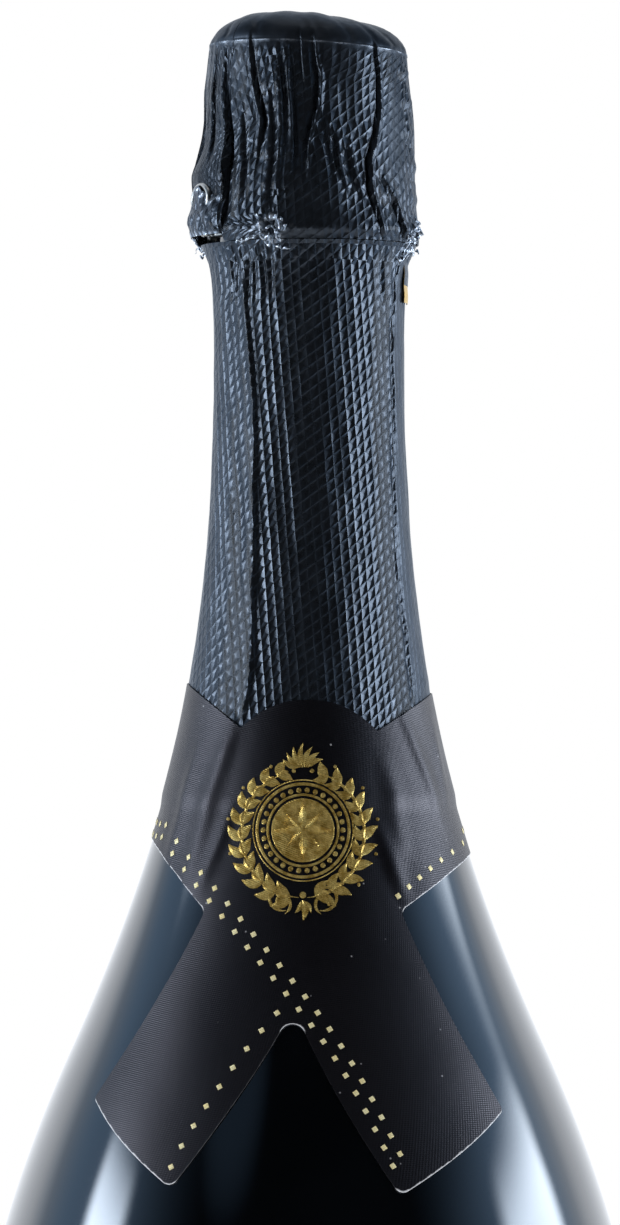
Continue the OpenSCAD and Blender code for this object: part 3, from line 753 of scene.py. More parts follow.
@dataclass
class Closure:
    """Cork, discs, crown cap, wire cage and finger loop, under the hood."""

    lip_z: float = 370.0
    cork_r: float = 8.95
    cork_low: float = 345.0
    disc: float = 5.5
    head_r: float = 13.9
    head_low: float = 370.1
    head_top: float = 384.5
    cap_low: float = 384.6
    cap_r: float = 14.2
    cap_sheet: float = 0.35
    groove_r: float = 10.5
    groove: float = 0.95

    def cork(self) -> None:
        """Turns the trunk of pressed granules and the two natural discs."""
        low = self.cork_low + 2 * self.disc
        trunk = np.vstack([
            [(0, low), (self.cork_r, low), (self.cork_r, self.head_low - 0.6), (self.cork_r, self.head_low)],
            arc((self.head_r - 1.2, self.head_low + 1.2), 1.2, -90, 0, 8),
            arc((self.head_r - 3, self.head_top - 3), 3.0, 0, 90, 12),
            [(0, self.head_top)],
        ])
        piece = turned("cork_trunk_pressed", trunk, 96)
        finish(piece, Finish.AGGLOMERATE.made(), "cork")
        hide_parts("cork_trunk")
        for number, node in enumerate(("cork_disc_lower", "cork_disc_upper")):
            z = self.cork_low + number * self.disc
            edge = 0.25 if number == 0 else 0.05
            line = [(0, z), (self.cork_r - edge, z), (self.cork_r, z + edge), (self.cork_r, z + self.disc - 0.05), (self.cork_r - 0.05, z + self.disc), (0, z + self.disc)]
            piece = turned(f"natural_disc_{number + 1}", np.array(line), 96)
            finish(piece, Finish.NATURAL.made(), "cork")
            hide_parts(node)

    def crown_cap(self) -> None:
        """Turns the stamped plate with its groove for the wire ring."""
        z, s, near, far = self.cap_low, self.cap_sheet, self.groove_r - self.groove, self.groove_r + self.groove
        under = [(0, z + 1.3), (near - 2.4, z + 1.26), (near - 1.2, z + 1.1), (near - 0.5, z + 0.55), (near, z + 0.05), (near + 0.3, z), (far - 0.3, z), (far, z + 0.04),
                 (self.cap_r - s - 1.4, z + 0.35), (self.cap_r - s - 0.7, z + 0.12), (self.cap_r - s - 0.3, z - 0.4), (self.cap_r - s, z - 1.9)]
        over = [(self.cap_r, z - 1.9), (self.cap_r - 0.05, z - 0.9), (self.cap_r - 0.35, z - 0.05), (self.cap_r - 0.8, z + 0.5), (self.cap_r - 1.4, z + 0.35 + s), (far, z + 0.04 + s),
                (far - 0.3, z + s), (near + 0.3, z + s), (near, z + 0.05 + s), (near - 0.5, z + 0.55 + s), (near - 1.2, z + 1.1 + s), (near - 2.4, z + 1.26 + s), (0, z + 1.3 + s)]
        piece = turned("crown_cap_plate", np.array(under + over), 96)
        finish(piece, Finish.TINPLATE.made(), "cage")
        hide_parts("crown_cap")

    def wires(self) -> None:
        """Rounds the six-sided wires of the cage and the loop."""
        sides = 1.2
        for node in ("cage_wire_1", "cage_wire_2", "cage_wire_3", "cage_wire_4", "cage_belt", "cage_loop"):
            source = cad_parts[node]
            piece = bpy.data.objects.new(f"round_{node}", source.data.copy())
            bpy.context.scene.collection.objects.link(piece)
            weld(piece, gap=2e-6)
            take(piece)
            reach = (0.5 if node in ("cage_belt", "cage_loop") else 0.45) * MM * (sides - 1.0)
            fatten = piece.modifiers.new("fatten", "DISPLACE")
            fatten.strength, fatten.mid_level = reach, 0.0
            bpy.ops.object.modifier_apply(modifier="fatten")
            rounder = piece.modifiers.new("rounder", "SUBSURF")
            rounder.levels = rounder.render_levels = 1
            bpy.ops.object.modifier_apply(modifier="rounder")
            shade(piece, 60.0)
            finish(piece, Finish.WIRE.made(), "loop" if node == "cage_loop" else "cage")
            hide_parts(node)

    def build(self) -> None:
        """Builds all of the closure."""
        self.cork()
        self.crown_cap()
        self.wires()


@dataclass
class Hood:
    """The pleated part of the capsule over the cork and the wire."""

    low: float = 353.3
    belt_z: float = 354.8
    belt_r: float = 19.3
    crease_r: float = 16.5
    crease_z: float = 386.0
    crown_z: float = 392.15
    tuck: float = 0.7
    foil: float = 0.15
    lean: float = 3.0
    sag: float = 0.5
    loop_bearing: float = -70.0
    notch_half: float = 21.0
    sunk_knot: float = 1.3
    notch_top: float = 362.75
    columns: int = 700
    finer_front: float = 22.0
    dome_folds: tuple[float, ...] = (-61.0, -35.0, -3.0, 3.5, 24.0, 41.0, 58.0, 90.0, 121.0, 150.0, 183.0, -152.0, -120.0, -93.0)
    rims: tuple[Path, ...] = (
        ((-6.5, 357.2), (-5.0, 357.1), (-3.8, 356.5)),
        ((-4.6, 356.3), (-3.9, 355.3), (-3.3, 354.2), (-4.2, 353.6)),
        ((-4.4, 353.9), (-2.2, 353.3), (-0.2, 353.6), (1.5, 352.6), (3.6, 352.0), (6.0, 351.7), (8.6, 351.6), (11.6, 351.9)),
        ((-0.4, 355.0), (2.0, 355.4), (3.8, 354.7), (4.6, 353.3), (6.0, 352.5)),
        ((-19.0, 353.0), (-14.0, 353.2), (-10.0, 353.4), (-5.5, 353.8)),
        ((6.5, 356.7), (7.0, 355.9), (5.3, 355.0), (7.5, 354.6), (10.4, 355.8)),
        ((-2.5, 352.8), (-0.6, 352.2), (1.4, 353.0), (0.6, 354.2)),
    )

    def meridian(self) -> np.ndarray:
        """The hood's line from its lower edge to its crown, as (radius, height)."""
        side = span(((self.belt_r, self.belt_z + 0.4), (self.belt_r - 0.2, self.belt_z + 10), (self.crease_r + 0.7, self.crease_z - 11), (self.crease_r, self.crease_z)), 60)
        rise = self.crown_z - self.crease_z
        dome = span(((self.crease_r, self.crease_z), (self.crease_r - 0.1, self.crease_z + 0.62 * rise), (0.8 * self.crease_r, self.crown_z), (0.3 * self.crease_r, self.crown_z)), 30)
        return np.vstack([[(self.belt_r - self.tuck, self.low)], side, dome[1:], [(0.0, self.crown_z)]])

    def pleats(self) -> list[Pleat]:
        """The folds: those of the front as they lie, and like ones behind."""
        front = [
            Pleat(((386, -56, 0.1), (379, -54.5, 0.5), (375, -51.5, 1.1), (370.7, -47.5, 1.6), (366.5, -46, 2.1), (364, -47.5, 2.1), (361.5, -47.5, 1.3), (356.5, -47.5, 0.0)), 1.3, 2.6, 0.35),
            Pleat(((387.5, -35.6, 0.15), (380.5, -32.5, 0.6), (376, -27.6, 1.0), (373, -24.5, 1.25), (370.4, -25.6, 0.6), (367, -26.4, 0.2), (364, -27.4, 0.0)), 0.8, 1.8, 0.5),
            Pleat(((388, -5.6, 0.2), (382, -4, 0.35), (377, -2, 0.0)), 1.2, 0.7, 0.4),
            Pleat(((387, 2.3, 0.3), (382, 4.4, 0.6), (380, 6.4, 1.0), (375, 4.9, 1.1), (369.4, -0.5, 0.8), (363, -1.8, 0.0)), 2.4, 0.8, 0.35),
            Pleat(((387.5, 40.9, 0.25), (381, 43.8, 0.7), (375, 41.8, 1.1), (370.6, 37.7, 1.5), (366.4, 32.6, 1.7), (361.4, 32.3, 1.3), (357.7, 36.4, 1.0), (353.3, 40.4, 0.3)), 1.4, 0.8, 0.3),
            Pleat(((364.5, 39, 0.0), (363.2, 40.6, 0.4), (359.2, 50.5, 1.0), (354.8, 55.7, 0.9), (352.4, 59, 0.3)), 2.4, 0.9, 0.4),
            Pleat(((387, 71.7, 0.1), (384.4, 71.7, 0.2), (373.8, 66.2, 0.5), (366, 69, 0.0)), 1.2, 2.2, 0.4),
            Pleat(((371, 13, 0.0), (369.5, 13.9, 0.3), (365.3, 15.5, 0.45), (360, 19.8, 0.0)), 2.2, 0.9, 0.5),
            Pleat(((369, 19, 0.0), (367.9, 20.6, 0.3), (363.8, 22.7, 0.5), (359, 29.2, 0.0)), 2.4, 0.9, 0.5),
            Pleat(((374, 8, 0.0), (372.8, 8.8, 0.25), (367.8, 10.5, 0.35), (362.7, 12.2, 0.0)), 1.8, 0.8, 0.5),
            Pleat(((386, -66, 0.1), (378, -68, 0.5), (371, -64, 0.6), (366, -62, 0.0)), 1.5, 2.5, 0.4),
            Pleat(((385.5, -16.5, 0.1), (381, -15.2, 0.4), (376, -13.5, 0.55), (371, -12.5, 0.4), (365, -13.5, 0.25), (358, -14, 0.0)), 1.1, 1.9, 0.7),
            Pleat(((385.5, -10.5, 0.1), (380, -9.5, 0.35), (374, -7.5, 0.5), (368, -7.0, 0.45), (362, -8.5, 0.0)), 1.0, 1.7, 0.6),
            Pleat(((379, -21.5, 0.0), (374, -19.5, 0.4), (368, -18.5, 0.45), (361, -19.5, 0.3), (357, -20, 0.0)), 1.2, 1.8, 0.6),
            Pleat(((376, -37.5, 0.0), (371, -36, 0.35), (365, -34.5, 0.45), (359, -33.5, 0.0)), 1.2, 1.9, 0.6),
        ]
        rng = np.random.default_rng(31)
        behind = []
        for bearing in (86.0, 97.0, 113.0, 127.0, 141.0, 174.0, 187.0, 203.0, 219.0, 233.0, 264.0):
            drift = np.cumsum(rng.normal(0.0, 2.2, 6))
            depth = rng.uniform(0.5, 1.7)
            levels = (387.0, 381.0, 375.0, 369.0, 363.0, 356.0)
            shares = (0.12, 0.45, 0.8, 1.0, 0.7, 0.0)
            path = tuple((z, bearing + d, depth * s) for z, d, s in zip(levels, drift, shares))
            steep, gentle = rng.uniform(1.0, 1.8), rng.uniform(2.4, 4.0)
            flanks = (steep, gentle) if rng.random() < 0.5 else (gentle, steep)
            behind.append(Pleat(path, *flanks, rng.uniform(0.2, 0.5)))
        return front + behind

    def relief(self, bearing: np.ndarray, height: np.ndarray) -> tuple[np.ndarray, np.ndarray]:
        """The folds, ridges and crumples of the foil.

        Args:
            bearing: bearings of the points.
            height: heights of the points, before the crown leans.

        Returns:
            How far the foil moves outwards, and the share of bare metal.
        """
        out = sum(p.at(bearing, height) for p in self.pleats())
        over_top = 1.0 - smooth((height - self.crease_z + 0.5) / 3.5)
        for leg in LEGS:
            ridge = 0.3 * bell(turned_by(bearing - leg) / 7.0) + 0.16 * bell(turned_by(bearing - leg - 7.0) / 3.0)
            lumps = 1.0 + 0.5 * np.sin(height * 1.15 + leg) + 0.3 * np.sin(height * 2.3 + 2 * leg)
            out = out + ridge * lumps * smooth((height - self.belt_z - 1) / 5)
        out = out + 0.85 * bell(turned_by(bearing + 80.0) / 24.0) * bell((height - 365.2) / 3.4)
        right = smooth((turned_by(bearing) - 45.0) / 50.0) * (1.0 - smooth((turned_by(bearing) - 125.0) / 35.0))
        left = bell(turned_by(bearing + 92.0) / 26.0)
        out = out - right * np.interp(height, (354.0, 356.0, 361.0, 364.0, 368.0, 372.0, 377.0), (0.8, 0.95, 1.12, 1.05, 0.75, 0.35, 0.0))
        out = out - left * np.interp(height, (365.0, 367.5, 370.5, 374.0, 379.0), (0.0, 0.45, 0.75, 0.5, 0.0))
        out = out + Crumple(5, 0.09, 26, 18.0).at(bearing, height) + Crumple(6, 0.022, 80, 9.0).at(bearing, height)
        out = out * over_top + 0.10 * Crumple(8, 1.0, 12, 14.0).at(bearing, height) * (1.0 - over_top)
        out = out + 0.3 * bell((height - self.belt_z - 0.4) / 1.2) - 0.2 * bell((height - 359.2) / 1.3) * bell(turned_by(bearing - 10.0) / 60.0)
        radial = sum(bell(turned_by(bearing - b + 3.0 * np.sin(height)) / 2.4) for b in self.dome_folds)
        out = out - 0.22 * radial * (1.0 - over_top) * smooth((391.4 - height) / 2.2)
        out = out + 0.14 * bell((height - self.crease_z) / 0.2)
        knot, bare = knots(bearing, height, self.belt_r, self.belt_z + 0.2)
        fade = smooth((height - self.low) / 1.6)
        worn = bell((height - self.crease_z) / 0.12) * (0.55 + 0.45 * np.sin(np.radians(bearing) * 23.0))
        bare = np.clip(bare + 0.75 * np.clip(worn, 0.0, 1.0), 0.0, 1.0)
        floor = -1.75 - 1.5 * smooth((height - 362.6) / 2.0)
        return np.maximum(out, floor) * (0.15 + 0.85 * fade) + knot * fade, bare

    def grid(self, rows: np.ndarray, inset: float) -> tuple[np.ndarray, np.ndarray, np.ndarray]:
        """Points of the hood.

        Args:
            rows: shares of the way from the lower edge to the crown, one for each row.
            inset: distance inwards from the outer face.

        Returns:
            The points, their place on the flat sheet, and the share of bare metal, less a painted shade that goes below
            zero.
        """
        line = self.meridian()
        run = np.concatenate([[0.0], np.cumsum(np.hypot(*np.diff(line, axis=0).T))])
        even = np.linspace(-180.0, 180.0, self.columns + 1)[None, :]
        bearing = even - self.finer_front * np.sin(np.radians(even))
        inside = np.abs(turned_by(bearing - self.loop_bearing)) < self.notch_half
        ragged = 0.3 * np.sin(bearing * 1.9) + 0.2 * np.sin(bearing * 4.3 + 1)
        fall = 2.9 * smooth((bearing - self.loop_bearing + 8.0) / 26.0)
        start = np.where(inside, np.interp(self.notch_top - fall, line[:50, 1], run[:50]) + 0.2 + ragged, 0.0)
        along = start + (run[-1] - start) * rows[:, None]
        r, z = np.interp(along, run, line[:, 0]), np.interp(along, run, line[:, 1])
        step = 0.15
        dr = np.interp(along + step, run, line[:, 0]) - np.interp(along - step, run, line[:, 0])
        dz = np.interp(along + step, run, line[:, 1]) - np.interp(along - step, run, line[:, 1])
        size = np.hypot(dr, dz) + 1e-9
        out, bare = self.relief(bearing, z)
        torn = np.where(inside, bell((along - start) / 0.3), 0.0)
        out = out * smooth(r / 4.0) - inset
        rr, zz = r + out * dz / size, z - out * dr / size
        rr = np.where(r < 0.01, 0.0, rr)
        tip = math.tan(math.radians(self.lean)) * smooth((z - self.crease_z + 12) / 12)
        aside = rr * np.sin(np.radians(bearing))
        sunk = (0.4 + self.sag * (smooth(aside / 8.0) + smooth((-aside - 9.0) / 6.0))) * smooth((z - self.crease_z + 0.5) / 3.4)
        slid = bearing + sum(p.slide(bearing, z) for p in self.pleats()) * smooth((self.crease_z + 1.0 - z) / 3.0)
        points = place(slid, rr, zz - tip * rr * np.sin(np.radians(slid)) - sunk)
        across = np.concatenate([np.zeros((len(rows), 1)), np.cumsum(np.linalg.norm(np.diff(points, axis=1), axis=2), axis=1)], 1)
        middle = across[:, [self.columns // 2]]
        emboss = (1.0 - smooth((z - self.crease_z + 1.6) / 1.2)) * (0.55 + 0.45 * smooth(0.6 + Crumple(9, 0.6, 6, 22.0).at(bearing, z)))
        lay = np.stack([across - middle, along + 90.0, emboss], -1)
        # Painted shade: the foil's colour is darkened round bearing -80 on the left, on the right side and over the
        # dome, and handed on as bare below zero.
        painted_shade = 0.85 * bell((bearing + 80.0) / 27.0) * smooth((z - 360.0) / 3.0) * (1.0 - smooth((z - 379.0) / 4.0))
        painted_shade = painted_shade + 0.45 * smooth((bearing - 42.0) / 16.0) * (1.0 - smooth((bearing - 95.0) / 20.0)) + 0.5 * smooth((z - self.crease_z) / 1.5)
        return points, lay, np.clip(bare + 0.9 * torn, 0, 1) - np.clip(painted_shade, 0, 0.9) * (bare < 0.1)

    def shreds(self) -> None:
        """Curls small torn tongues of bare foil up round the hooks of the wire."""
        rng = np.random.default_rng(77)
        number = 0
        for leg, count in ((-20.0, 4), (70.0, 4), (160.0, 3), (-110.0, 3)):
            for _ in range(count):
                number += 1
                way = rng.uniform(0, math.tau)
                low = self.sunk_knot if leg == 70.0 else 0.0
                start = np.array([leg + 1.4 + 3.6 * math.cos(way), self.belt_z + 0.2 - low + 1.6 * math.sin(way)])
                turn, length, width = way + rng.normal(0, 0.6), rng.uniform(0.7, 1.5), rng.uniform(0.18, 0.36)
                t = np.linspace(0, 1, 9)[:, None]
                w = np.linspace(-1, 1, 4)[None, :] * width * (1 - 0.75 * t**2)
                along = length * t * (1 - 0.3 * t)
                bearing = start[0] + (along * math.cos(turn) - w * math.sin(turn)) / 0.335
                z = start[1] + along * math.sin(turn) + w * math.cos(turn)
                r = self.belt_r + 0.32 - 0.9 * (low > 0.0) + rng.uniform(0.4, 0.8) * np.sin(t * rng.uniform(1.2, 2.6)) + 0.2 * np.sin(6 * t + 3 * w)
                lay = np.stack(np.broadcast_arrays(bearing, z, 0.0 * z), -1)
                sheet = Sheet(place(bearing, r + 0.05, z), place(bearing, r, z), lay, np.ones_like(z), round=False)
                piece = sheet.build(f"foil_shred_{number:02d}")
                weld(piece, recalculate=True)
                finish(piece, Finish.TORN.made(), "hood")

    def torn_rims(self) -> None:
        """Lays thin crumpled rims of bare foil round the holes that the hooks tore."""
        for number, (leg, turn) in enumerate(((-20.0, 1.0), (70.0, -1.0), (160.0, 1.0), (-110.0, 1.0)), 1):
            for part, rim in enumerate(self.rims, 1):
                t = np.array(rim)
                share = np.linspace(0.0, 1.0, 9 * len(rim))
                at = np.linspace(0.0, 1.0, len(rim))
                across, level = np.interp(share, at, t[:, 0]), np.interp(share, at, t[:, 1])
                across = across + 0.35 * np.sin(share * 19.0 + part)
                level = level + 0.12 * np.sin(share * 31.0 + 2 * part + number)
                bearing = leg + turn * across
                level = level - self.sunk_knot * (leg == 70.0)
                r = -0.8 * (leg == 70.0) + np.interp(level, (351.0, 352.6, 353.4, 354.2, 358.0), (18.05, 18.6, 19.3, 19.75, 19.7)) + 0.12 * np.sin(share * 23.0)
                wide = 0.16 * (0.5 + np.abs(np.sin(share * 13.0 + part))) * smooth((1.0 - share) / 0.1)
                way = np.unwrap(np.arctan2(np.gradient(level), np.gradient(bearing) * 0.33))
                side = np.linspace(-1.0, 1.0, 4)[:, None] * wide
                b, z = bearing - side * np.sin(way) / 0.33, level + side * np.cos(way)
                bulge = r + 0.16 * np.cos(side / (wide + 1e-6) * 1.5)
                lay = np.stack([b, z, 0.0 * z], -1)
                sheet = Sheet(place(b, bulge + 0.06, z), place(b, bulge - 0.04, z), lay, np.ones_like(z), round=False)
                piece = sheet.build(f"torn_rim_{number}_{part}")
                weld(piece, recalculate=True)
                finish(piece, Finish.TORN.made(), "hood")

    def build(self) -> None:
        """Builds the hood and dresses it."""
        outer = np.concatenate([np.linspace(0.0, 0.60, 86), np.linspace(0.604, 0.645, 13), np.linspace(0.66, 1.0, 16)])
        front, lay, bare = self.grid(outer, 0.0)
        back = self.grid(np.linspace(0.0, 1.0, 18), self.foil)[0]
        piece = Sheet(front, back, lay, bare, round=True, pole=True).build("pleated_hood")
        finish(piece, Finish.FOIL.made(), "hood")
        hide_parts("foil_hood")
        self.shreds()
        self.torn_rims()


@dataclass
class Sleeve:
    """The part of the capsule below the wire, which stays on the neck."""

    glass: GlassBottle
    low: float = 262.0
    top: float = 353.2
    top_r: float = 17.7
    lip: float = 0.4
    flare_low: float = 338.0
    gap: float = 0.35
    foil: float = 0.15
    facet: float = 15.4
    columns: int = 480

    def radius(self, height: np.ndarray) -> np.ndarray:
        """Outer radius of the smooth sleeve."""
        flare = span(((self.glass.neck_r, self.flare_low), (self.glass.neck_r + 0.2, self.flare_low + 7), (self.glass.neck_r + 0.25, self.flare_low + 11.8), (self.top_r - self.gap, 353.0)), 30)
        low = self.glass.radius(height)
        lip = self.lip * smooth((height - 351.9) / 1.25)
        return self.gap + lip + np.where(height < self.flare_low, low, np.interp(height, flare[:, 1], flare[:, 0]))

    def relief(self, bearing: np.ndarray, height: np.ndarray) -> tuple[np.ndarray, np.ndarray]:
        """The sharp fold, the overlap and the small wrinkles.

        Args:
            bearing: bearings of the points.
            height: heights of the points.

        Returns:
            How far the foil moves outwards, and how plain it is pressed there, from 0 to 1.
        """
        z = (273.0, 277.0, 284.0, 290.5, 301.0, 312.0, 327.0, 335.0, 346.0, 352.0)
        b = (-31.0, -29.4, -28.2, -29.6, -31.0, -32.6, -33.9, -36.9, -41.5, -42.5)
        h = (0.1, 0.5, 0.75, 0.6, 0.62, 0.62, 0.62, 0.55, 0.4, 0.05)
        x = turned_by(bearing - np.interp(height, z, b))
        lift = np.interp(height, z, h)
        wide = np.degrees(np.arccos(np.clip(17.0 / (17.0 + lift), 0, 1)))
        left = (17.0 / np.cos(np.radians(np.clip(x + wide, 0, wide))) - 17.0) * (x <= 0)
        right = lift * bell(x / 1.0) * (x > 0)
        out = left + right
        sz = (262.0, 283.0, 288.0, 294.0, 301.0, 315.0, 327.0, 335.0, 346.0, 353.0)
        sb = (59.0, 57.8, 58.9, 57.2, 56.2, 60.4, 61.6, 60.0, 62.0, 66.0)
        y = turned_by(bearing - np.interp(height, sz, sb) - 0.5 * np.sin(height * 0.9) - 0.3 * np.sin(height * 2.1))
        lap = smooth(y / 0.9) * np.exp(-np.clip(y, 0, 200) / 45.0) - 0.3 * bell((y + 1.2) / 1.2)
        out = out + 0.3 * lap
        plain = 0.62 * smooth(y / 1.5) * (1.0 - smooth((y - 40.0) / 30.0))
        upper = smooth((height - 342.0) / 4.0) * (1.0 - smooth((height - 351.6) / 1.2))
        for b0, d, lean in ((-50, 0.35, 0.5), (-46, 0.45, 0.3), (-37.5, 0.4, 0.5), (-33, 0.35, 0.2), (-27, 0.45, -0.2), (-22, 0.3, 0.1), (48, 0.3, -0.4), (78, 0.4, 0.3), (110, 0.4, -0.4), (131, 0.3, 0.2), (171, 0.4, 0.3), (204, 0.4, -0.3), (238, 0.3, 0.2), (262, 0.3, 0.1)):
            out = out - d * upper * bell(turned_by(bearing - b0 - lean * (height - 347.0)) / 1.5)
        out = out - 0.25 * bell(turned_by(bearing - 86.0) / 16.0) * smooth((height - 345.0) / 2.0) * (1.0 - smooth((height - 350.4) / 0.9))
        out = out + Crumple(15, 0.05, 26, 30.0).at(bearing, height) + Crumple(17, 0.025, 70, 14.0).at(bearing, height)
        return out, plain

    def fade(self, bearing: np.ndarray, height: np.ndarray, label_top: np.ndarray) -> np.ndarray:
        """How freely the foil moves: not at all under the label, fully 2.5 mm above it."""
        return smooth((height - label_top - 0.2) / 2.5) * (1.0 - 0.8 * smooth((height - 351.5) / 1.5))

    def build(self, label: "CollarLabel") -> None:
        """Builds the sleeve and dresses it.

        Args:
            label: the label that holds the sleeve's lower end down.
        """
        bearing = np.linspace(-180.0, 180.0, self.columns + 1)[None, :]

        def grid(rows: int, inset: float) -> tuple[np.ndarray, np.ndarray, np.ndarray, np.ndarray]:
            """Points, heights, relief and plainness of one face."""
            z = np.linspace(self.low, self.top, rows)[:, None] + 0.0 * bearing
            out, plain = self.relief(bearing, z)
            out = out * self.fade(bearing, z, label.top_edge(bearing + 0.0 * z))
            out = np.maximum(out, np.where(z < self.flare_low, -0.05, -0.5)) - inset
            return place(bearing, self.radius(z) + out, z), z, out, plain

        front, z, _, plain = grid(170, 0.0)
        back = grid(24, self.foil)[0]
        steps = np.linalg.norm(np.diff(front, axis=1), axis=2)
        stretched = np.where(bearing < -32.0, 0.82, 1.0)
        across = np.concatenate([np.zeros((len(z), 1)), np.cumsum(steps * 0.5 * (stretched[:, 1:] + stretched[:, :-1]), axis=1)], 1)
        across -= across[:, [self.columns // 2]]
        knot, bare = knots(bearing + 0.0 * z, z, self.top_r, 354.6)
        lay = np.stack([across, z - 262.0, 1.0 - plain], -1)
        piece = Sheet(front, back, lay, 0.8 * bare).build("neck_sleeve")
        finish(piece, Finish.FOIL.made(), "bottle")
        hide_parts("foil_sleeve")


@dataclass
class LoopFlap:
    """The torn flap of foil that bulges over the finger loop."""

    bearing: float = -70.0
    half: float = 23.2
    low: float = 354.45
    top: float = 363.6
    over_r: float = 19.75
    line: Path = ((353.2, 18.5), (353.8, 19.0), (354.4, 19.7), (355.2, 20.05), (356.6, 20.2), (358.0, 20.05), (359.5, 19.45), (361.0, 18.95), (362.7, 18.7), (364.5, 18.6))
    foil: float = 0.15

    def build(self) -> None:
        """Builds the flap and dresses it."""
        u = np.linspace(-1.0, 1.0, 129)[None, :]
        v = np.linspace(0.0, 1.0, 61)[:, None]
        ragged = 0.3 * np.sin(9.4 * u + 0.7) + 0.2 * np.sin(23.0 * u)
        top = self.top - 2.9 * smooth((u + 0.35) / 1.1)
        z = self.low + (top - self.low) * v + ragged * v**4
        bearing = self.bearing + self.half * u
        over_eye = bell(turned_by(bearing - self.bearing - 1.0) / 11.0)
        waves = Crumple(21, 0.12, 40, 6.0).at(bearing, z) + 0.2 * np.abs(np.sin(bearing * 0.35 + 0.8 * z))
        side = np.interp(z, *np.array(self.line).T)
        out = np.maximum(side, side + (self.over_r - side) * over_eye * (1.0 - smooth((z - 362.6) / 0.8))) + waves * 0.8 * (1.0 - smooth((v - 0.85) / 0.1))
        out = out - 0.5 * smooth((u - 0.84) / 0.16) - 0.9 * bell((bearing + 88.0) / 5.0) * bell((z - 355.6) / 0.9)
        front = place(bearing, out + self.foil, z)
        back = place(bearing, out, z)
        lay = np.stack(np.broadcast_arrays(bearing * 0.35, z, 1.0 - 0.0 * z), -1)
        edge = np.maximum(bell((0.9 - v) / 0.045), 0.9 * bell((v - 0.02) / 0.05))
        bare = np.clip(edge * (0.6 + 0.5 * np.sin(31.0 * u)), 0, 1) + 0.0 * z
        piece = Sheet(front, back, lay, bare, round=False).build("torn_loop_flap")
        finish(piece, Finish.FOIL.made(), "loop")
        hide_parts("loop_flap")


@dataclass
class TearTab:
    """The gold-backed end of the tear strip."""

    low: float = 343.5
    middle: float = 346.4
    high: float = 350.3
    free: float = 72.5
    root: float = 98.0
    stand: float = 16.62
    foil: float = 0.12
    curl: float = 0.12

    def build(self) -> None:
        """Builds the tab as two bonded leaves, slate outside and gold inside."""
        v = np.linspace(0.0, 1.0, 17)[:, None]
        bearing = np.linspace(self.free, self.root, 40)[None, :]
        for name, finish_of, slot, low, high, start in (
            ("tear_tab_backing", Finish.BACKING, "gold_backing", 0.0, 0.5, self.low),
            ("tear_tab_face", Finish.FOIL, "foil", 0.5, 1.0, self.middle),
        ):
            z = start + (self.high - start) * v + 0.25 * np.sin(v * 9.0) * smooth((80.0 - bearing) / 8.0)
            curl = self.curl * np.square(np.clip((86.0 - bearing) / 14.0, 0, 1)) + 0.05 * np.sin(z * 1.7)
            base = self.stand + curl
            inner, outer = base + low * self.foil, base + high * self.foil
            lay = np.stack(np.broadcast_arrays(bearing * 0.3, z, 1.0 + 0.0 * z), -1)
            piece = Sheet(place(bearing, outer, z), place(bearing, inner, z), lay, 0.0 * z * bearing, round=False).build(name)
            finish(piece, finish_of.made(), "tab")
            if low == 0.0:
                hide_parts("tear_tab")


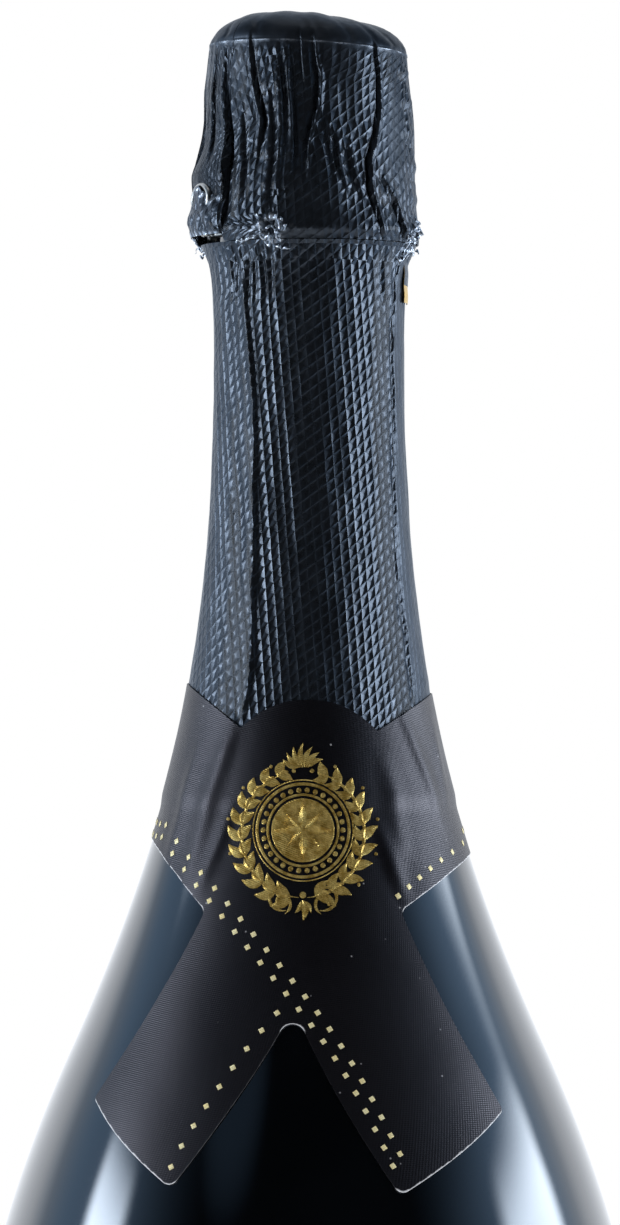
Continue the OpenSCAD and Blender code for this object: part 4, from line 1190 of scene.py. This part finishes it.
@dataclass
class CollarLabel:
    """The crossed label: a band round the neck and two tails that cross in front."""

    glass: GlassBottle
    left_valley: tuple[float, float] = (-11.02, 272.7)
    right_valley: tuple[float, float] = (11.36, 272.2)
    arch_rise: float = 4.95
    left_slope: float = 0.7526
    right_slope: float = 0.6267
    left_band: tuple[float, float] = (-23.84, 251.05)
    right_band: tuple[float, float] = (25.42, 250.09)
    corners: Path = (
        (-16.81, 242.96, 1.6),
        (-35.04, 212.22, 1.0),
        (-22.21, 199.37, 1.6),
        (-2.41, 227.35, 2.2),
        (14.66, 198.65, 1.6),
        (31.67, 210.76, 1.0),
        (15.01, 243.03, 1.3),
    )
    wrinkles: tuple[Pleat, ...] = (
        Pleat(((276, -33, 0.0), (269, -37, -0.5), (260, -42, -0.5), (250, -44, -0.3), (243, -44, 0.0)), 5.0, 4.0),
        Pleat(((273, -52, 0.0), (264, -56, -0.35), (254, -58, -0.35), (246, -56, 0.0)), 4.0, 4.5),
        Pleat(((262, -30, 0.0), (255, -33, -0.4), (249, -37, -0.3), (244, -39, 0.0)), 3.6, 2.6),
        Pleat(((278, 44, 0.0), (272, 49, -0.4), (266, 54, -0.5), (260, 58, -0.3), (255, 60, 0.0)), 3.0, 5.0),
        Pleat(((270, 32, 0.0), (262, 35, -0.4), (254, 34, -0.3), (247, 30, 0.0)), 4.5, 4.5),
        Pleat(((259, 26, 0.0), (254, 28, -0.4), (248, 31, -0.4), (243, 33, 0.0)), 2.6, 3.6),
        Pleat(((276, 74, 0.0), (268, 70, -0.35), (256, 66, 0.0)), 3.6, 4.6),
        Pleat(((277, 128, 0.0), (268, 132, -0.3), (257, 134, 0.0)), 4.0, 4.0),
        Pleat(((277, -135, 0.0), (268, -131, -0.3), (257, -130, 0.0)), 4.0, 4.0),
    )
    back_top: float = 1.5
    back_low: float = 4.0
    sheet: float = 0.16
    grain: float = 0.6

    def skin(self, height: np.ndarray | float) -> np.ndarray:
        """Radius of the label's outer face."""
        step = smooth((np.asarray(height) - 258.6) / 3.2)
        return self.glass.radius(height) + 0.3 + 0.35 * step

    def top_edge(self, bearing: np.ndarray) -> np.ndarray:
        """Height of the upper edge at a bearing."""
        b = np.radians(np.clip(turned_by(bearing), -90.0, 90.0))
        (xl, zl), (xr, zr) = self.left_valley, self.right_valley
        z = 276.0 + 0.0 * b
        for _ in range(4):
            x = self.skin(z) * np.sin(b)
            share = np.clip((x - xl) / (xr - xl), 0.0, 1.0)
            arch = zl + (zr - zl) * share + self.arch_rise * (1.0 - np.abs(2.0 * share - 1.0) ** 2.3)
            z = np.where(x < xl, zl + self.left_slope * (xl - x), np.where(x > xr, zr + self.right_slope * (x - xr), arch))
        return z + self.behind(bearing, *self.sides(self.top_sides), self.back_top)

    def top_sides(self, side: int) -> float:
        """Height of the upper edge where it passes the left (-1) or right (1) side."""
        return 279.5 if side < 0 else 277.7

    def low_sides(self, side: int) -> float:
        """Height of the lower edge where it passes the left (-1) or right (1) side."""
        (x, z), corner = (self.left_band, self.corners[0]) if side < 0 else (self.right_band, self.corners[-1])
        return z + (z - corner[1]) / (abs(x) - abs(corner[0])) * (float(self.skin(z + 2.0)) - abs(x))

    @staticmethod
    def sides(edge: Callable[[int], float]) -> tuple[float, float]:
        """Heights of an edge at the left and the right side."""
        return edge(-1), edge(1)

    @staticmethod
    def behind(bearing: np.ndarray, left: float, right: float, rise: float) -> np.ndarray:
        """What the back adds to the height of the nearer side.

        Args:
            bearing: bearings of the points.
            left: height of the edge at the left side.
            right: height of the edge at the right side.
            rise: how much higher the edge is at the middle of the back.

        Returns:
            The height to add, 0 in front.
        """
        b = turned_by(bearing)
        away = np.clip((np.abs(b) - 90.0) / 90.0, 0.0, 1.0)
        middle = (left + right) / 2.0 + rise
        return (middle - np.where(b < 0, left, right)) * smooth(away)

    def unrolled(self, x: float, z: float) -> tuple[float, float]:
        """The bearing and height of a point seen from the front."""
        return math.degrees(math.asin(max(-1.0, min(1.0, x / float(self.skin(z)))))), z

    @staticmethod
    def corner(a: np.ndarray, b: np.ndarray, c: np.ndarray, radius: float) -> np.ndarray:
        """The rounded corner at b between a and c."""
        u, v = (a - b) / np.linalg.norm(a - b), (c - b) / np.linalg.norm(c - b)
        half = math.acos(float(np.clip(u @ v, -1, 1))) / 2
        middle = b + (u + v) / np.linalg.norm(u + v) * radius / math.sin(half)
        p, q = b + u * radius / math.tan(half) - middle, b + v * radius / math.tan(half) - middle
        start = math.degrees(math.atan2(p[1], p[0]))
        sweep = float(turned_by(math.degrees(math.atan2(q[1], q[0])) - start))
        return arc(tuple(middle), radius, start, start + sweep, 8)

    def tails(self) -> np.ndarray:
        """The lower edge seen from the front, from the left waist to the right one."""
        way = [np.array(c[:2]) for c in self.corners]
        points = [np.array(self.left_band), *way, np.array(self.right_band)]
        return np.vstack([self.corner(points[i], way[i], points[i + 2], self.corners[i][2]) for i in range(len(way))])

    def boundary(self) -> np.ndarray:
        """The closed edge as (bearing, height), with 7 degrees of overlap behind."""
        tails = [self.unrolled(*p) for p in self.tails()]

        def low(b: float) -> tuple[float, float]:
            """The lower edge beside and behind the tails."""
            side = -1 if turned_by(b) < 0 else 1
            (x0, z0), corner = (self.left_band, self.corners[0]) if side < 0 else (self.right_band, self.corners[-1])
            slope = (z0 - corner[1]) / (abs(x0) - abs(corner[0]))
            z = z0
            for _ in range(8):
                z = z0 + slope * (float(self.skin(z)) * math.sin(math.radians(min(abs(turned_by(b)), 90.0))) - abs(x0))
            return b, z + float(self.behind(b, *self.sides(self.low_sides), self.back_low))

        first, last = tails[0][0], tails[-1][0]
        edge = [low(b) for b in np.arange(-180.0, first - 1.0, 1.6)] + tails
        edge += [low(b) for b in np.arange(last + 1.2, 187.01, 1.6)]
        top = np.array([187.0, *np.arange(186.0, -180.0, -1.0), -180.0])
        return np.vstack([np.array(edge), np.stack([top, self.top_edge(top)], 1)])

    def lifted(self, bearing: np.ndarray, height: np.ndarray) -> np.ndarray:
        """Height of the wrinkles and of the overlap behind."""
        out = Crumple(41, 0.05, 14, 26.0).at(bearing, height)
        for wrinkle in self.wrinkles:
            out = out + wrinkle.at(bearing, height)
        return np.maximum(out, -0.04) + 0.18 * smooth((bearing - 177.5) / 2.5)

    def surface(self, bearing: np.ndarray, height: np.ndarray, off: float = 0.0) -> np.ndarray:
        """Points on the label's outer face, off millimetres over it."""
        r = self.skin(height) + self.lifted(bearing, height) + off
        return place(bearing, r, height)

    def build(self) -> None:
        """Cuts the label out, wraps it and dresses it."""
        scale = math.radians(27.0)
        edge = self.boundary() * (scale, 1.0)
        ring = [edge[0]]
        for p, q in zip(edge, np.roll(edge, -1, axis=0)):
            n = max(1, int(np.linalg.norm(q - p) / (0.9 * self.grain)))
            ring += [p + (q - p) * (i + 1) / n for i in range(n)]
        ring = np.array(ring[:-1])
        xs = np.arange(ring[:, 0].min(), ring[:, 0].max(), self.grain)
        zs = np.arange(ring[:, 1].min(), ring[:, 1].max(), self.grain * 0.87)
        grid = np.array([(x + (0.5 * self.grain if j % 2 else 0.0), z) for j, z in enumerate(zs) for x in xs])
        keep = []
        for block in np.array_split(grid, 40):
            near = np.linalg.norm(block[:, None, :] - ring[None, :, :], axis=2).min(1)
            keep.append(block[near > 0.62 * self.grain])
        flat = np.vstack([ring, *keep])
        count = len(ring)
        rim = [(i, (i + 1) % count) for i in range(count)]
        made = delaunay_2d_cdt([tuple(p) for p in flat], rim, [list(range(count))], 1, 1e-6)
        points = np.array([tuple(p) for p in made[0]])
        faces = np.array([f for f in made[2] if len(f) == 3])
        a, b, c = (points[faces[:, k]] for k in range(3))
        turned_over = (b - a)[:, 0] * (c - a)[:, 1] - (b - a)[:, 1] * (c - a)[:, 0] < 0
        faces[turned_over] = faces[turned_over][:, ::-1]
        pairs = np.vstack([faces[:, [0, 1]], faces[:, [1, 2]], faces[:, [2, 0]]])
        known = {tuple(p) for p in pairs.tolist()}
        border = [p for p in pairs.tolist() if (p[1], p[0]) not in known]
        bearing, height = points[:, 0] / scale, points[:, 1]
        front = self.surface(bearing, height)
        back = self.surface(bearing, height, -self.sheet)
        n = len(points)
        away = np.full(n, 9.0)
        edge_points = np.array(sorted({i for p in border for i in p}))
        for block in np.array_split(np.arange(n), 40):
            away[block] = np.linalg.norm(points[block][:, None, :] - points[edge_points][None, :, :], axis=2).min(1)
        mesh = bpy.data.meshes.new("crossed_label")
        walls = [(p[1], p[0], p[0] + n, p[1] + n) for p in border]
        rear = (faces[:, ::-1] + n).tolist()
        mesh.from_pydata((np.vstack([front, back]) * MM).tolist(), [], faces.tolist() + rear + walls)
        order = np.zeros(len(mesh.loops), np.int32)
        mesh.loops.foreach_get("vertex_index", order)
        lay = np.stack([points[:, 0], height, np.ones(n)], 1)
        # The cut edge is pale paper all round; the lower edges get a painted highlight on top of that.
        painted_edge_highlight = np.zeros(n)
        for i, j in border:
            step = points[j] - points[i]
            down = max(0.0, step[0] / (np.linalg.norm(step) + 1e-9))
            painted_edge_highlight[i], painted_edge_highlight[j] = max(painted_edge_highlight[i], down), max(painted_edge_highlight[j], down)
        pale = np.where(away > 0.01, 0.0, 0.45 + 0.55 * smooth(painted_edge_highlight / 0.7))
        mesh.attributes.new("lay", "FLOAT_VECTOR", "CORNER").data.foreach_set("vector", np.vstack([lay, lay])[order].ravel())
        mesh.attributes.new("bare", "FLOAT", "CORNER").data.foreach_set("value", np.concatenate([pale, pale])[order])
        piece = bpy.data.objects.new("crossed_label", mesh)
        bpy.context.scene.collection.objects.link(piece)
        shade(piece, 50.0)
        finish(piece, Finish.LABEL.made(), "bottle")
        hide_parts("collar_label")


@dataclass
class GoldWork:
    """The stamped gold on the label: rows of lozenges and the wreath over the crossing."""

    label: CollarLabel
    lozenge: float = 0.84
    pitch: float = 3.45
    leaf: float = 0.05
    centre: tuple[float, float] = (-0.9, 256.2)

    def rows(self) -> list[np.ndarray]:
        """The middles of the lozenges as (x, z) seen from the front, for the rows in front."""
        spans = (
            ((-23.67, 256.40), (-13.94, 245.16), (-2.83, 232.53), (5.86, 221.14), (14.61, 205.26), 21),
            ((-24.34, 254.41), (-14.91, 243.21), (-3.95, 230.64), (4.73, 219.45), (13.47, 203.46), 21),
            ((25.76, 253.27), (23.6, 251.9), (21.15, 250.46), (18.0, 248.2), (14.60, 245.45), 7),
            ((-5.07, 227.20), (-8.6, 223.2), (-12.05, 218.70), (-17.2, 211.3), (-22.01, 202.94), 9),
        )
        made = []
        for *knots_of, count in spans:
            p = np.array(knots_of)
            t = np.linspace(0, 1, 5)
            at = np.linspace(0, 1, 200)
            fine = np.stack([np.polyval(np.polyfit(t, p[:, k], 4), at) for k in (0, 1)], 1)
            run = np.concatenate([[0], np.cumsum(np.hypot(*np.diff(fine, axis=0).T))])
            want = np.linspace(0, run[-1], count)
            made.append(np.stack([np.interp(want, run, fine[:, k]) for k in (0, 1)], 1))
        return made

    def frame_at(self, bearing: float, height: float) -> tuple[np.ndarray, np.ndarray, np.ndarray]:
        """A point of the label with its directions across and up."""
        p = self.label.surface(bearing, height, 0.0)
        across = self.label.surface(bearing + 0.5, height, 0.0) - p
        up = self.label.surface(bearing, height + 0.3, 0.0) - p
        return p, across / np.linalg.norm(across), up / np.linalg.norm(up)

    def lozenges(self) -> None:
        """Models one lozenge and stamps it along all the rows."""
        deselect()
        bpy.ops.mesh.primitive_cube_add(size=1.0)
        one = bpy.context.active_object
        bpy.ops.object.mode_set(mode="EDIT")
        bpy.ops.mesh.select_all(action="SELECT")
        bpy.ops.transform.resize(value=(self.lozenge, self.lozenge, 2 * self.leaf))
        bpy.ops.mesh.bevel(offset=0.035, segments=2, affect="EDGES")
        bpy.ops.object.mode_set(mode="OBJECT")
        shape = np.array([v.co[:] for v in one.data.vertices])
        faces = [list(f.vertices) for f in one.data.polygons]
        bpy.data.objects.remove(one)
        places = []
        for line in self.rows():
            for x, z in line:
                b = math.degrees(math.asin(x / float(self.label.skin(z))))
                places.append((b, z))
        left_low, right_low = places[0], places[42]
        for step in range(1, 27):
            share = step / 27.0
            places.append((left_low[0] - 7.4 * step, left_low[1] + 2.6 * smooth(share * 2.2)))
            places.append((left_low[0] - 0.6 - 7.4 * step, left_low[1] - 2.0 + 2.6 * smooth(share * 2.2)))
        places = [p for p in places if p[0] > -178.0]
        for step in range(1, 16):
            places.append((right_low[0] + 7.4 * step, right_low[1] + 1.8 + 2.0 * float(smooth(step / 9.0))))
        rng = np.random.default_rng(7)
        points, sides = [], []
        for bearing, height in places:
            p, across, up = self.frame_at(float(bearing), float(height))
            out = np.cross(across, up)
            a = math.radians(30.0 + rng.normal(0, 2.5))
            u, v = across * math.cos(a) + up * math.sin(a), up * math.cos(a) - across * math.sin(a)
            start = len(points)
            points += [(p + s[0] * u + s[1] * v + (s[2] + 0.02) * out) * MM for s in shape]
            sides += [[i + start for i in f] for f in faces]
        mesh = bpy.data.meshes.new("gold_lozenges")
        mesh.from_pydata([tuple(p) for p in points], [], sides)
        piece = bpy.data.objects.new("gold_lozenges", mesh)
        bpy.context.scene.collection.objects.link(piece)
        shade(piece, 30.0)
        finish(piece, Finish.BRIGHT_GOLD.made(), "bottle")

    def wreath_strokes(self) -> list[tuple[np.ndarray, np.ndarray, float]]:
        """The wreath as strokes: middle line, half widths and height of the ridge."""
        strokes = []

        def leaf(x: float, y: float, angle: float, length: float, width: float, lift: float = 0.16) -> None:
            """Adds a pointed leaf from (x, y)."""
            t = np.linspace(0, 1, 8)
            bend = 0.12 * length * np.sin(t * math.pi)
            a = math.radians(angle)
            line = np.stack([x + t * length * math.cos(a) - bend * math.sin(a), y + t * length * math.sin(a) + bend * math.cos(a)], 1)
            strokes.append((line, width * np.sin(np.clip(t, 0.02, 0.98) * math.pi) ** 0.8 * (1.15 - 0.5 * t), lift))

        def line_of(points: np.ndarray, width: float, lift: float = 0.08) -> None:
            """Adds a thin line that tapers at its ends."""
            t = np.linspace(0, 1, len(points))
            strokes.append((points, width * np.clip(8 * np.minimum(t, 1 - t), 0.25, 1.0), lift))

        for side in (-1, 1):
            stem = np.stack([side * 10.0 * np.cos(np.radians(np.linspace(-86, 72, 40))), 10.2 * np.sin(np.radians(np.linspace(-86, 72, 40))) - 0.6], 1)
            line_of(stem, 0.24)
            for k, a in enumerate(np.linspace(-78, 66, 11)):
                x, y = side * 10.0 * math.cos(math.radians(a)), 10.2 * math.sin(math.radians(a)) - 0.6
                ahead = math.degrees(math.atan2(10.2 * math.cos(math.radians(a)), -side * 10.0 * math.sin(math.radians(a))))
                size = 3.6 - 0.9 * k / 10
                leaf(x, y, ahead - side * 38, size, 0.86)
                leaf(x, y, ahead + side * 38, size * 0.9, 0.8)
                leaf(x, y, ahead, size * 0.7, 0.55, 0.24)
            curl = np.linspace(0, 1, 30)
            for turn_way, reach in ((1, 2.6), (-1, 1.9)):
                a = math.radians(250) + turn_way * curl * 4.6
                r = reach * (1 - 0.72 * curl)
                line_of(np.stack([side * (3.6 + r * np.cos(a)), -11.0 + 0.6 * turn_way + r * np.sin(a)], 1), 0.24)
        for k in range(8):
            a = 90 + 45 * k
            length = 5.0 if k % 2 == 0 else 3.9
            t = np.linspace(0, 1, 5)
            rad = math.radians(a)
            line = np.stack([t * length * math.cos(rad), t * length * math.sin(rad)], 1)
            strokes.append((line, (1.2 if k % 2 == 0 else 0.9) * (1 - t) ** 0.9 + 0.01, 0.45))
        for radius, width in ((5.75, 0.2), (7.5, 0.24), (8.15, 0.09)):
            a = np.radians(np.linspace(0, 360, 73))
            strokes.append((np.stack([radius * np.cos(a), radius * np.sin(a)], 1), np.full(73, width), 0.07))
        for k in range(-3, 4):
            leaf(0.25 * k, 10.2, 90 - 21 * k, 3.9 - 0.35 * abs(k), 0.5)
        leaf(0.0, -11.2, -90, 3.2, 0.62, 0.22)
        leaf(-0.3, -11.4, -118, 2.1, 0.4)
        leaf(0.3, -11.4, -62, 2.1, 0.4)
        return strokes

    def beads(self) -> list[tuple[float, float, float]]:
        """The round dots of the wreath, as (x, y, radius)."""
        ring = [(6.5 * math.cos(math.radians(a)), 6.5 * math.sin(math.radians(a)), 0.44) for a in range(0, 360, 12)]
        berries = []
        for side in (-1, 1):
            for a in range(-70, 66, 27):
                berries.append((side * 12.4 * math.cos(math.radians(a)), 12.0 * math.sin(math.radians(a)) - 0.6, 0.3))
        return ring + berries + [(0.0, 0.0, 0.85), (0.0, -10.4, 0.55), (-1.5, 9.6, 0.35), (1.5, 9.6, 0.35)]

    def wreath(self) -> None:
        """Stamps the wreath over the crossing."""
        points, faces = [], []

        def lay_down(flat: np.ndarray, lift: np.ndarray) -> int:
            """Adds points of the flat drawing to the label and returns the first one's number."""
            start = len(points)
            x, z = flat[:, 0] + self.centre[0], flat[:, 1] + self.centre[1]
            bearing = np.degrees(np.arcsin(x / self.label.skin(z)))
            points.extend((self.label.surface(bearing, z, 0.0) + 0.0 * x[:, None]).tolist())
            base = np.array(points[start:])
            out = place(bearing, np.ones(len(x)), np.zeros(len(x)))
            points[start:] = (base + out * lift[:, None]).tolist()
            return start

        for line, width, lift in self.wreath_strokes():
            step = np.gradient(line, axis=0)
            step /= np.linalg.norm(step, axis=1)[:, None] + 1e-9
            normal = np.stack([-step[:, 1], step[:, 0]], 1)
            left, right = line + normal * width[:, None], line - normal * width[:, None]
            n = len(line)
            rows = [(left, 0.0), (left, 0.05), (line, 0.05 + lift), (right, 0.05), (right, 0.0)]
            starts = [lay_down(p, np.full(n, h)) for p, h in rows]
            for a, b in zip(starts, starts[1:]):
                faces += [[a + i, b + i, b + i + 1, a + i + 1] for i in range(n - 1)]
            faces += [[s for s in starts], [s + n - 1 for s in reversed(starts)]]
        rings = [(0.0, 0.16), (1.4, 0.16), (1.5, 0.06), (2.9, 0.06), (3.0, 0.14), (5.0, 0.14), (5.15, 0.0)]
        around = np.radians(np.arange(0, 360, 7.5))
        discs = [lay_down(np.stack([r * np.cos(around), r * np.sin(around)], 1), np.full(48, h)) for r, h in rings]
        for a, b in zip(discs, discs[1:]):
            faces += [[a + i, b + i, b + (i + 1) % 48, a + (i + 1) % 48] for i in range(48)]
        for x, y, r in self.beads():
            a = np.radians(np.arange(0, 360, 36))
            ring = np.stack([x + r * np.cos(a), y + r * np.sin(a)], 1)
            inner = np.stack([x + 0.6 * r * np.cos(a), y + 0.6 * r * np.sin(a)], 1)
            low, mid = lay_down(ring, np.full(10, 0.0)), lay_down(inner, np.full(10, 0.55 * r))
            tip = lay_down(np.array([[x, y]]), np.array([0.75 * r]))
            for i in range(10):
                j = (i + 1) % 10
                faces += [[low + i, low + j, mid + j, mid + i], [mid + i, mid + j, tip]]
        mesh = bpy.data.meshes.new("gold_wreath")
        mesh.from_pydata([tuple(np.array(p) * MM) for p in points], [], faces)
        piece = bpy.data.objects.new("gold_wreath", mesh)
        bpy.context.scene.collection.objects.link(piece)
        weld(piece, gap=1e-8, recalculate=False)
        shade(piece, 25.0)
        finish(piece, Finish.GOLD.made(), "bottle")

    def build(self) -> None:
        """Builds all of the gold work."""
        self.lozenges()
        self.wreath()


@dataclass(frozen=True)
class SoftBox:
    """A large soft box beside the bottle, bright in its middle and fading out at its edges.

    azimuth is in degrees from the front towards the right, the sizes are in metres and level is
    its brightness, where 1 is white.
    """

    name: str
    azimuth: float
    width: float
    high: float
    level: float
    soft_side: float
    soft_top: float
    colour: Rgb = (0.85, 0.935, 1.03)

    def build(self) -> None:
        """Stands the soft box up 1 m from the bottle."""
        deselect()
        bpy.ops.mesh.primitive_plane_add(size=1.0)
        piece = bpy.context.active_object
        piece.name = self.name
        bpy.ops.object.mode_set(mode="EDIT")
        bpy.ops.mesh.select_all(action="SELECT")
        bpy.ops.transform.resize(value=(self.width, self.high, 1.0))
        bpy.ops.object.mode_set(mode="OBJECT")
        a = math.radians(self.azimuth)
        piece.location = (math.sin(a), -math.cos(a), self.high / 2)
        piece.rotation_euler = (math.radians(90.0), 0.0, a + math.pi)
        n = Nodes(self.name)
        parts = n.add("ShaderNodeSeparateXYZ")
        n.feed(parts.inputs[0], n.add("ShaderNodeTexCoord").outputs["Object"])
        side = n.ease(n.math("ABSOLUTE", parts.outputs[0]), self.width / 2 - self.soft_side, self.width / 2, 1.0, 0.0)
        top = n.ease(parts.outputs[1], self.high / 2 - self.soft_top, self.high / 2, 1.0, 0.0)
        lit = n.math("MULTIPLY", n.math("MULTIPLY", side, top), n.math("SUBTRACT", 1.0, n.add("ShaderNodeNewGeometry").outputs["Backfacing"]))
        glow, clear, both = n.add("ShaderNodeEmission"), n.add("ShaderNodeBsdfTransparent"), n.add("ShaderNodeMixShader")
        n.feed(glow.inputs[0], self.colour)
        n.feed(glow.inputs[1], self.level)
        for socket, value in zip(both.inputs, (lit, clear.outputs[0], glow.outputs[0])):
            n.feed(socket, value)
        n.feed(n.tree.nodes["Material Output"].inputs[0], both.outputs[0])
        piece.data.materials.append(n.material)
        piece.visible_camera = False
        piece.visible_shadow = False


@dataclass
class Studio:
    """Floor, world, lamps and camera."""

    level: float = 291.7
    distance: float = 860.0
    side_shift: float = 0.252
    lens: float = 150.4
    floor_r: float = 0.62
    fill: float = 0.7
    boxes: tuple[SoftBox, ...] = (
        SoftBox("left_box", -86.5, 0.44, 0.69, 10.0, 0.11, 0.21),
        SoftBox("right_box", 97.5, 0.72, 0.67, 8.0, 0.16, 0.21),
    )

    def world(self) -> None:
        """White behind, blue-grey at the sides and nearly black in front, with an even soft fill."""
        world = bpy.data.worlds.new("studio")
        bpy.context.scene.world = world
        world.use_nodes = True
        world.cycles.sampling_method = "NONE"
        tree = world.node_tree
        tree.nodes.clear()

        def node(kind: str, *values: object) -> bpy.types.Node:
            """Adds a node and feeds its inputs in order."""
            made = tree.nodes.new(kind)
            for socket, value in zip(made.inputs, values):
                if isinstance(value, bpy.types.NodeSocket):
                    tree.links.new(value, socket)
                elif value is not None:
                    socket.default_value = value
            return made

        def ramp(value: object, low: float, high: float, out: float = 0.0, end: float = 1.0) -> bpy.types.NodeSocket:
            """Eases from out to end as value goes from low to high."""
            made = node("ShaderNodeMapRange", value, low, high, out, end)
            made.interpolation_type = "SMOOTHSTEP"
            return made.outputs[0]

        def sums(operation: str, *values: object) -> bpy.types.NodeSocket:
            """The result of a Math node."""
            made = node("ShaderNodeMath", *values)
            made.operation = operation
            return made.outputs[0]

        path = node("ShaderNodeLightPath")
        way = node("ShaderNodeSeparateXYZ", node("ShaderNodeTexCoord").outputs["Generated"])
        x, y, z = way.outputs
        behind = ramp(y, 0.3, 0.75)
        side = sums("MULTIPLY", ramp(y, -0.68, 0.12), ramp(x, -0.5, 0.5, 0.60, 0.80))
        side = sums("MULTIPLY", side, ramp(z, 0.36, 0.64, 1.0, 0.12))
        tint = node("ShaderNodeMix", behind)
        tint.data_type = "RGBA"
        tint.inputs[6].default_value = (0.58, 0.88, 1.26, 1.0)
        tint.inputs[7].default_value = (0.94, 0.98, 1.04, 1.0)
        dots = [sums("MULTIPLY", v, k) for v, k in ((x, -0.472), (y, -0.604), (z, 0.643))]
        window = ramp(sums("ADD", sums("ADD", dots[0], dots[1]), dots[2]), 0.97, 0.998, 0.0, 0.12)
        level = sums("MAXIMUM", sums("MAXIMUM", side, behind), sums("ADD", window, 0.003))
        mirrored = node("ShaderNodeBackground", tint.outputs[2], level)
        lit = node("ShaderNodeBackground", (0.95, 0.97, 1.0, 1.0), self.fill)
        seen = node("ShaderNodeBackground", (1.0, 1.0, 1.0, 1.0), 1.0)
        glossy = node("ShaderNodeMixShader", path.outputs["Is Glossy Ray"], lit.outputs[0], mirrored.outputs[0])
        either = sums("MAXIMUM", path.outputs["Is Camera Ray"], path.outputs["Is Transmission Ray"])
        camera = node("ShaderNodeMixShader", either, glossy.outputs[0], seen.outputs[0])
        node("ShaderNodeOutputWorld", camera.outputs[0])

    def floor(self) -> None:
        """A plain pale floor that ends in the white of the backdrop."""
        deselect()
        bpy.ops.mesh.primitive_circle_add(vertices=96, radius=self.floor_r, fill_type="NGON")
        piece = bpy.context.active_object
        piece.name = "floor"
        n = Nodes("pale_floor")
        where = n.add("ShaderNodeTexCoord").outputs["Object"]
        n.set(base_color=n.mix(n.noise(n.place((3.0, 3.0, 3.0)), 1.0), (0.8, 0.8, 0.8), (0.84, 0.84, 0.84)), roughness=0.7)
        away = n.add("ShaderNodeVectorMath", operation="LENGTH")
        n.feed(away.inputs[0], where)
        far = n.math("MULTIPLY", n.ease(away.outputs[1], 0.2, 0.58), n.add("ShaderNodeLightPath").outputs["Is Camera Ray"])
        white, both = n.add("ShaderNodeEmission"), n.add("ShaderNodeMixShader")
        for socket, value in zip(both.inputs, (far, n.shader.outputs[0], white.outputs[0])):
            n.feed(socket, value)
        clear, ends = n.add("ShaderNodeBsdfTransparent"), n.add("ShaderNodeMixShader")
        rim = n.math("MULTIPLY", n.ease(away.outputs[1], 0.1, 0.58), n.add("ShaderNodeLightPath").outputs["Is Glossy Ray"])
        for socket, value in zip(ends.inputs, (rim, both.outputs[0], clear.outputs[0])):
            n.feed(socket, value)
        n.feed(n.tree.nodes["Material Output"].inputs[0], ends.outputs[0])
        piece.data.materials.append(n.material)

    def build(self) -> None:
        """Sets the studio up."""
        scene = bpy.context.scene
        scene.view_settings.view_transform = "Standard"
        self.world()
        self.floor()
        for box in self.boxes:
            box.build()
        data = bpy.data.lights.new("ceiling_box", "AREA")
        data.size = 1.2
        data.energy = 0.62 * math.pi * data.size**2
        lamp = bpy.data.objects.new("ceiling_box", data)
        scene.collection.objects.link(lamp)
        lamp.location = (0.0, 0.25, 1.75)
        lamp.visible_camera = False
        data = bpy.data.cameras.new("camera")
        data.lens = self.lens
        data.sensor_width = 36.0
        data.clip_start, data.clip_end = 0.01, 50.0
        camera = bpy.data.objects.new("camera", data)
        scene.collection.objects.link(camera)
        camera.location = (self.side_shift * MM, -self.distance * MM, self.level * MM)
        camera.rotation_euler = (math.radians(90.0), 0.0, 0.0)
        scene.camera = camera


def main() -> None:
    """Builds the studio and every sub-assembly in order."""
    logging.basicConfig(level=logging.INFO, format="%(message)s")
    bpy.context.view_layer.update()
    Studio().build()
    glass = GlassBottle()
    glass.build()
    Closure().build()
    Hood().build()
    label = CollarLabel(glass)
    sleeve = Sleeve(glass)
    sleeve.build(label)
    LoopFlap().build()
    TearTab().build()
    label.build()
    GoldWork(label).build()
    deselect()


if __name__ == "__main__":
    main()
